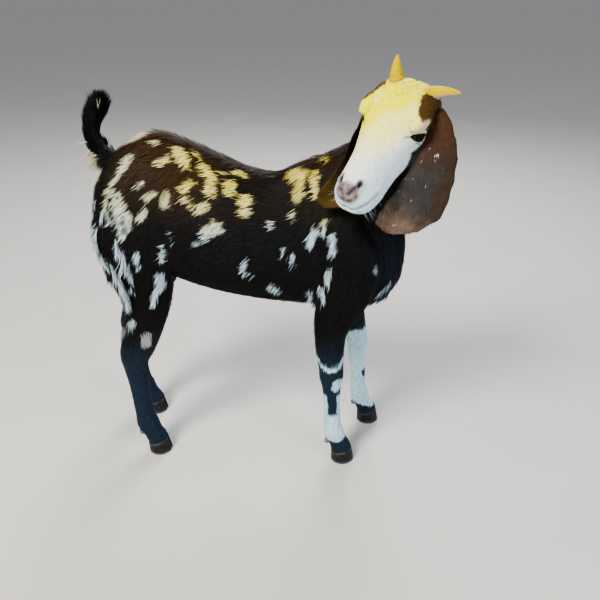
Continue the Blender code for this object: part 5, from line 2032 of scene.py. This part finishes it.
def buildHorns():
    material = coatedMaterial("horn", hornLook["surface"])
    for side in ("left", "right"):
        start, bend, end = (headPoint(spot) for spot in hornLook[side])
        rings = []
        rows, count = 48, 40
        for step in range(rows):
            share = step / (rows - 1)
            low = start + (bend - start) * share
            high = bend + (end - bend) * share
            centre = low + (high - low) * share
            way = unit(high - low)
            radius = hornLook["base"] * (1 - share) ** 0.7 + hornLook["point"]
            radius *= 1 + 0.035 * math.sin(share * 42) * (1 - share)
            across = unit(np.cross(way, forward))
            upward = unit(np.cross(way, across))
            narrow = radius * hornLook["flatness"]
            rings.append(ringPoints(centre, across, upward, narrow, radius, radius, count))
        item = loft(f"horn_{side}_keratin", rings)
        points = pointsOf(item)
        apart = np.linalg.norm(points - start, axis=1) / np.linalg.norm(end - start)
        # The yellow is painted yellow light from above; the undersides stay greyer, the left
        # horn's more
        under = ease(-normalsOf(item)[:, 2], -0.2, 0.6)
        colour = evenColour(hornLook["yellowLight"], len(points))
        blend(colour, under * (0.9 if side == "left" else 0.3), hornLook["grey"])
        blend(colour, ease(apart, 0.78, 1.0) * 0.5, hornLook["tip"])
        dress(item, colour, material, "horn", f"horn_{side}")
    say("horns")


# Hooves: the sole's and the top's sizes are half a claw's length and its width. The dewclaw's
# numbers are its places behind and beside the leg, its height and its radius.

hoofLook = {
    "coronet": 0.0265,
    "slope": 0.27,
    "sole": (0.0225, 0.0185),
    "top": (0.0195, 0.0175),
    "split": 0.0010,
    "inside": 0.12,
    "forward": 0.0035,
    "dewclaw": (0.0195, 0.0085, 0.049, 0.0052),
    "wall": (0.006, 0.007, 0.009),
    "rim": (0.20, 0.21, 0.23),
    "dust": (0.16, 0.13, 0.10, 1),
    "dustGrain": 120,
    "dustShare": (0.0, 0.14),
    "surface": {
        "grain": 260,
        "stretch": (0.15, 0.15, 1.6),
        "light": (0.7, 1.3),
        "bump": (0.45, 0.0008),
        "roughness": 0.5,
        "specular": 0.2,
    },
}


def legCentre(name, height):
    return np.array([legMiddle(name, height), legs[name][1] * stance, height])


def clawRing(centre, halfLength, width, side, tilt, count):
    angle = turns(count)
    reach = halfLength * np.cos(angle)
    spread = np.sin(angle)
    across = np.where(spread > 0, width * spread, hoofLook["inside"] * width * spread)
    toe = 1 - 0.25 * np.maximum(0, np.cos(angle)) ** 2
    return centre + np.stack([reach, side * across * toe, tilt * reach], axis=1)


def hoofMaterial():
    material = coatedMaterial("hoof", hoofLook["surface"])
    nodes, links = material.node_tree.nodes, material.node_tree.links
    target = nodes["Principled BSDF"].inputs["Base Color"]
    spots = noiseInto(nodes, links, hoofLook["dustGrain"])
    dust = ranged(nodes, links, spots, *hoofLook["dustShare"])
    plain = target.links[0].from_socket
    links.new(mixed(nodes, links, dust, plain, hoofLook["dust"]), target)
    return material


def buildHooves():
    material = hoofMaterial()
    sole, top = np.array(hoofLook["sole"]), np.array(hoofLook["top"])
    slope, rise = hoofLook["slope"], hoofLook["coronet"]
    for foot in legs:
        for label, side in (("outer", 1), ("inner", -1)):
            way = side * legs[foot][1]
            coronet = legCentre(foot, rise)
            inner = way * (hoofLook["split"] + hoofLook["inside"] * sole[1])
            rings = []
            for level in np.linspace(0, 1, 9):
                grow = 1 - level
                half, wide = top + (sole - top) * grow
                half *= 1 - 0.012 * (level == 0) - 0.01 * abs(math.sin(level * 12))
                centre = coronet + np.array([hoofLook["forward"] * grow, inner, 0])
                centre[2] = rise * level
                rings.append(clawRing(centre, half, wide, way, slope * level, 40))
            item = loft(f"hoof_{foot}_{label}", rings)
            points = pointsOf(item)
            rim = ease(-points[:, 2], -0.0045, -0.0015)
            upper = ease(points[:, 2] - slope * (points[:, 0] - coronet[0]), 0.021, 0.026)
            colour = evenColour(hoofLook["wall"], len(points))
            share = np.maximum(rim, upper * 0.25) * (0.7 + 0.4 * noise(points, 0.004, 61))
            blend(colour, np.clip(share, 0, 1), hoofLook["rim"])
            dress(item, colour, material, "hoof", f"{foot}_claw_{label}")
            behind, aside, height, radius = hoofLook["dewclaw"]
            centre = legCentre(foot, height) + np.array([-behind, way * aside, 0])
            radii = (radius, radius * 0.85, radius * 1.15)
            item = loft(f"dewclaw_{foot}_{label}", ballRings(centre, radii, 24, 12, 0.8))
            colour = evenColour(hoofLook["rim"], len(pointsOf(item))) * 0.7
            dress(item, colour, material, "hoof", f"{foot}_dewclaw_{label}")
    say("hooves")


# Build

skin = buildSkin()
surface = Surface(skin)
hairScale = 1.0
coatMaterial = growCoat(skin, surface, hairScale)
buildEars(coatMaterial, hairScale)
buildEyes()
buildHorns()
buildHooves()
fleshNodes = ["torso", "neck", "head", "tail"]
fleshNodes += [f"{name}_{half}" for name in legs for half in ("upper", "lower")]
place(skin, fleshNodes)

# Floor, light and camera

stageLook = {
    "half": 40.0,
    "grain": 6,
    "floor": ((0.50, 0.485, 0.46, 1), (0.55, 0.535, 0.51, 1)),
    "roughness": 0.75,
    "world": (0.86, 0.90, 0.96, 1),
    "strength": 0.46,
}


def buildStage():
    material, nodes, links, shader = shaderOf("floor")
    grain = noiseInto(nodes, links, stageLook["grain"])
    colour = mixed(nodes, links, grain, *stageLook["floor"])
    links.new(colour, shader.inputs["Base Color"])
    shader.inputs["Roughness"].default_value = stageLook["roughness"]
    corners = ((-1, -1, 0), (1, -1, 0), (1, 1, 0), (-1, 1, 0))
    floor = objectOf("floor", np.array(corners) * stageLook["half"], [(0, 1, 2, 3)])
    floor.data.materials.append(material)
    floor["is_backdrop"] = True
    world = bpy.data.worlds.new("studio")
    bpy.context.scene.world = world
    world.use_nodes = True
    background = world.node_tree.nodes["Background"]
    background.inputs["Color"].default_value = stageLook["world"]
    background.inputs["Strength"].default_value = stageLook["strength"]


# Each light: its place, what it points at, size, power and colour
lights = {
    "key": ((-1.1, -1.5, 2.5), (0, 0, 0.45), 1.0, 122, (1.0, 0.95, 0.86)),
    "fill": ((1.9, -1.6, 1.2), (0.1, 0, 0.4), 1.6, 34, (0.82, 0.91, 1.0)),
    "rim": ((0.2, 1.9, 2.0), (0, 0, 0.45), 1.2, 48, (0.95, 0.97, 1.0)),
}


def addLight(name, spot, target, size, power, colour):
    light = bpy.data.lights.new(name, "AREA")
    light.shape = "DISK"
    light.size = size
    light.energy = power
    light.color = colour
    item = linked(name, light)
    item.location = spot
    item.rotation_euler = (Vector(target) - Vector(spot)).to_track_quat("-Z", "Y").to_euler()


# The lens is the sensor's width times the share of the focal length in the picture's width.
camera = {
    "spot": np.array([0.156, -0.939, 0.846]) + shift,
    "down": 29.0,
    "turn": 4.0,
    "sensor": 36,
    "lens": 36 * 580 / 600,
}


def buildCamera():
    data = bpy.data.cameras.new("camera")
    data.sensor_width = camera["sensor"]
    data.lens = camera["lens"]
    data.clip_start = 0.05
    item = linked("camera", data)
    item.location = camera["spot"]
    item.rotation_euler = (math.radians(90 - camera["down"]), 0, math.radians(camera["turn"]))
    bpy.context.scene.camera = item


buildStage()
bpy.context.scene.view_settings.look = "AgX - Medium High Contrast"
for name, values in lights.items():
    addLight(name, *values)
buildCamera()

shownLow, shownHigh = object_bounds()
say("cad", tuple(round(v, 4) for v in (*cadLow, *cadHigh)))
say("shown", tuple(round(v, 4) for v in (*shownLow, *shownHigh)))
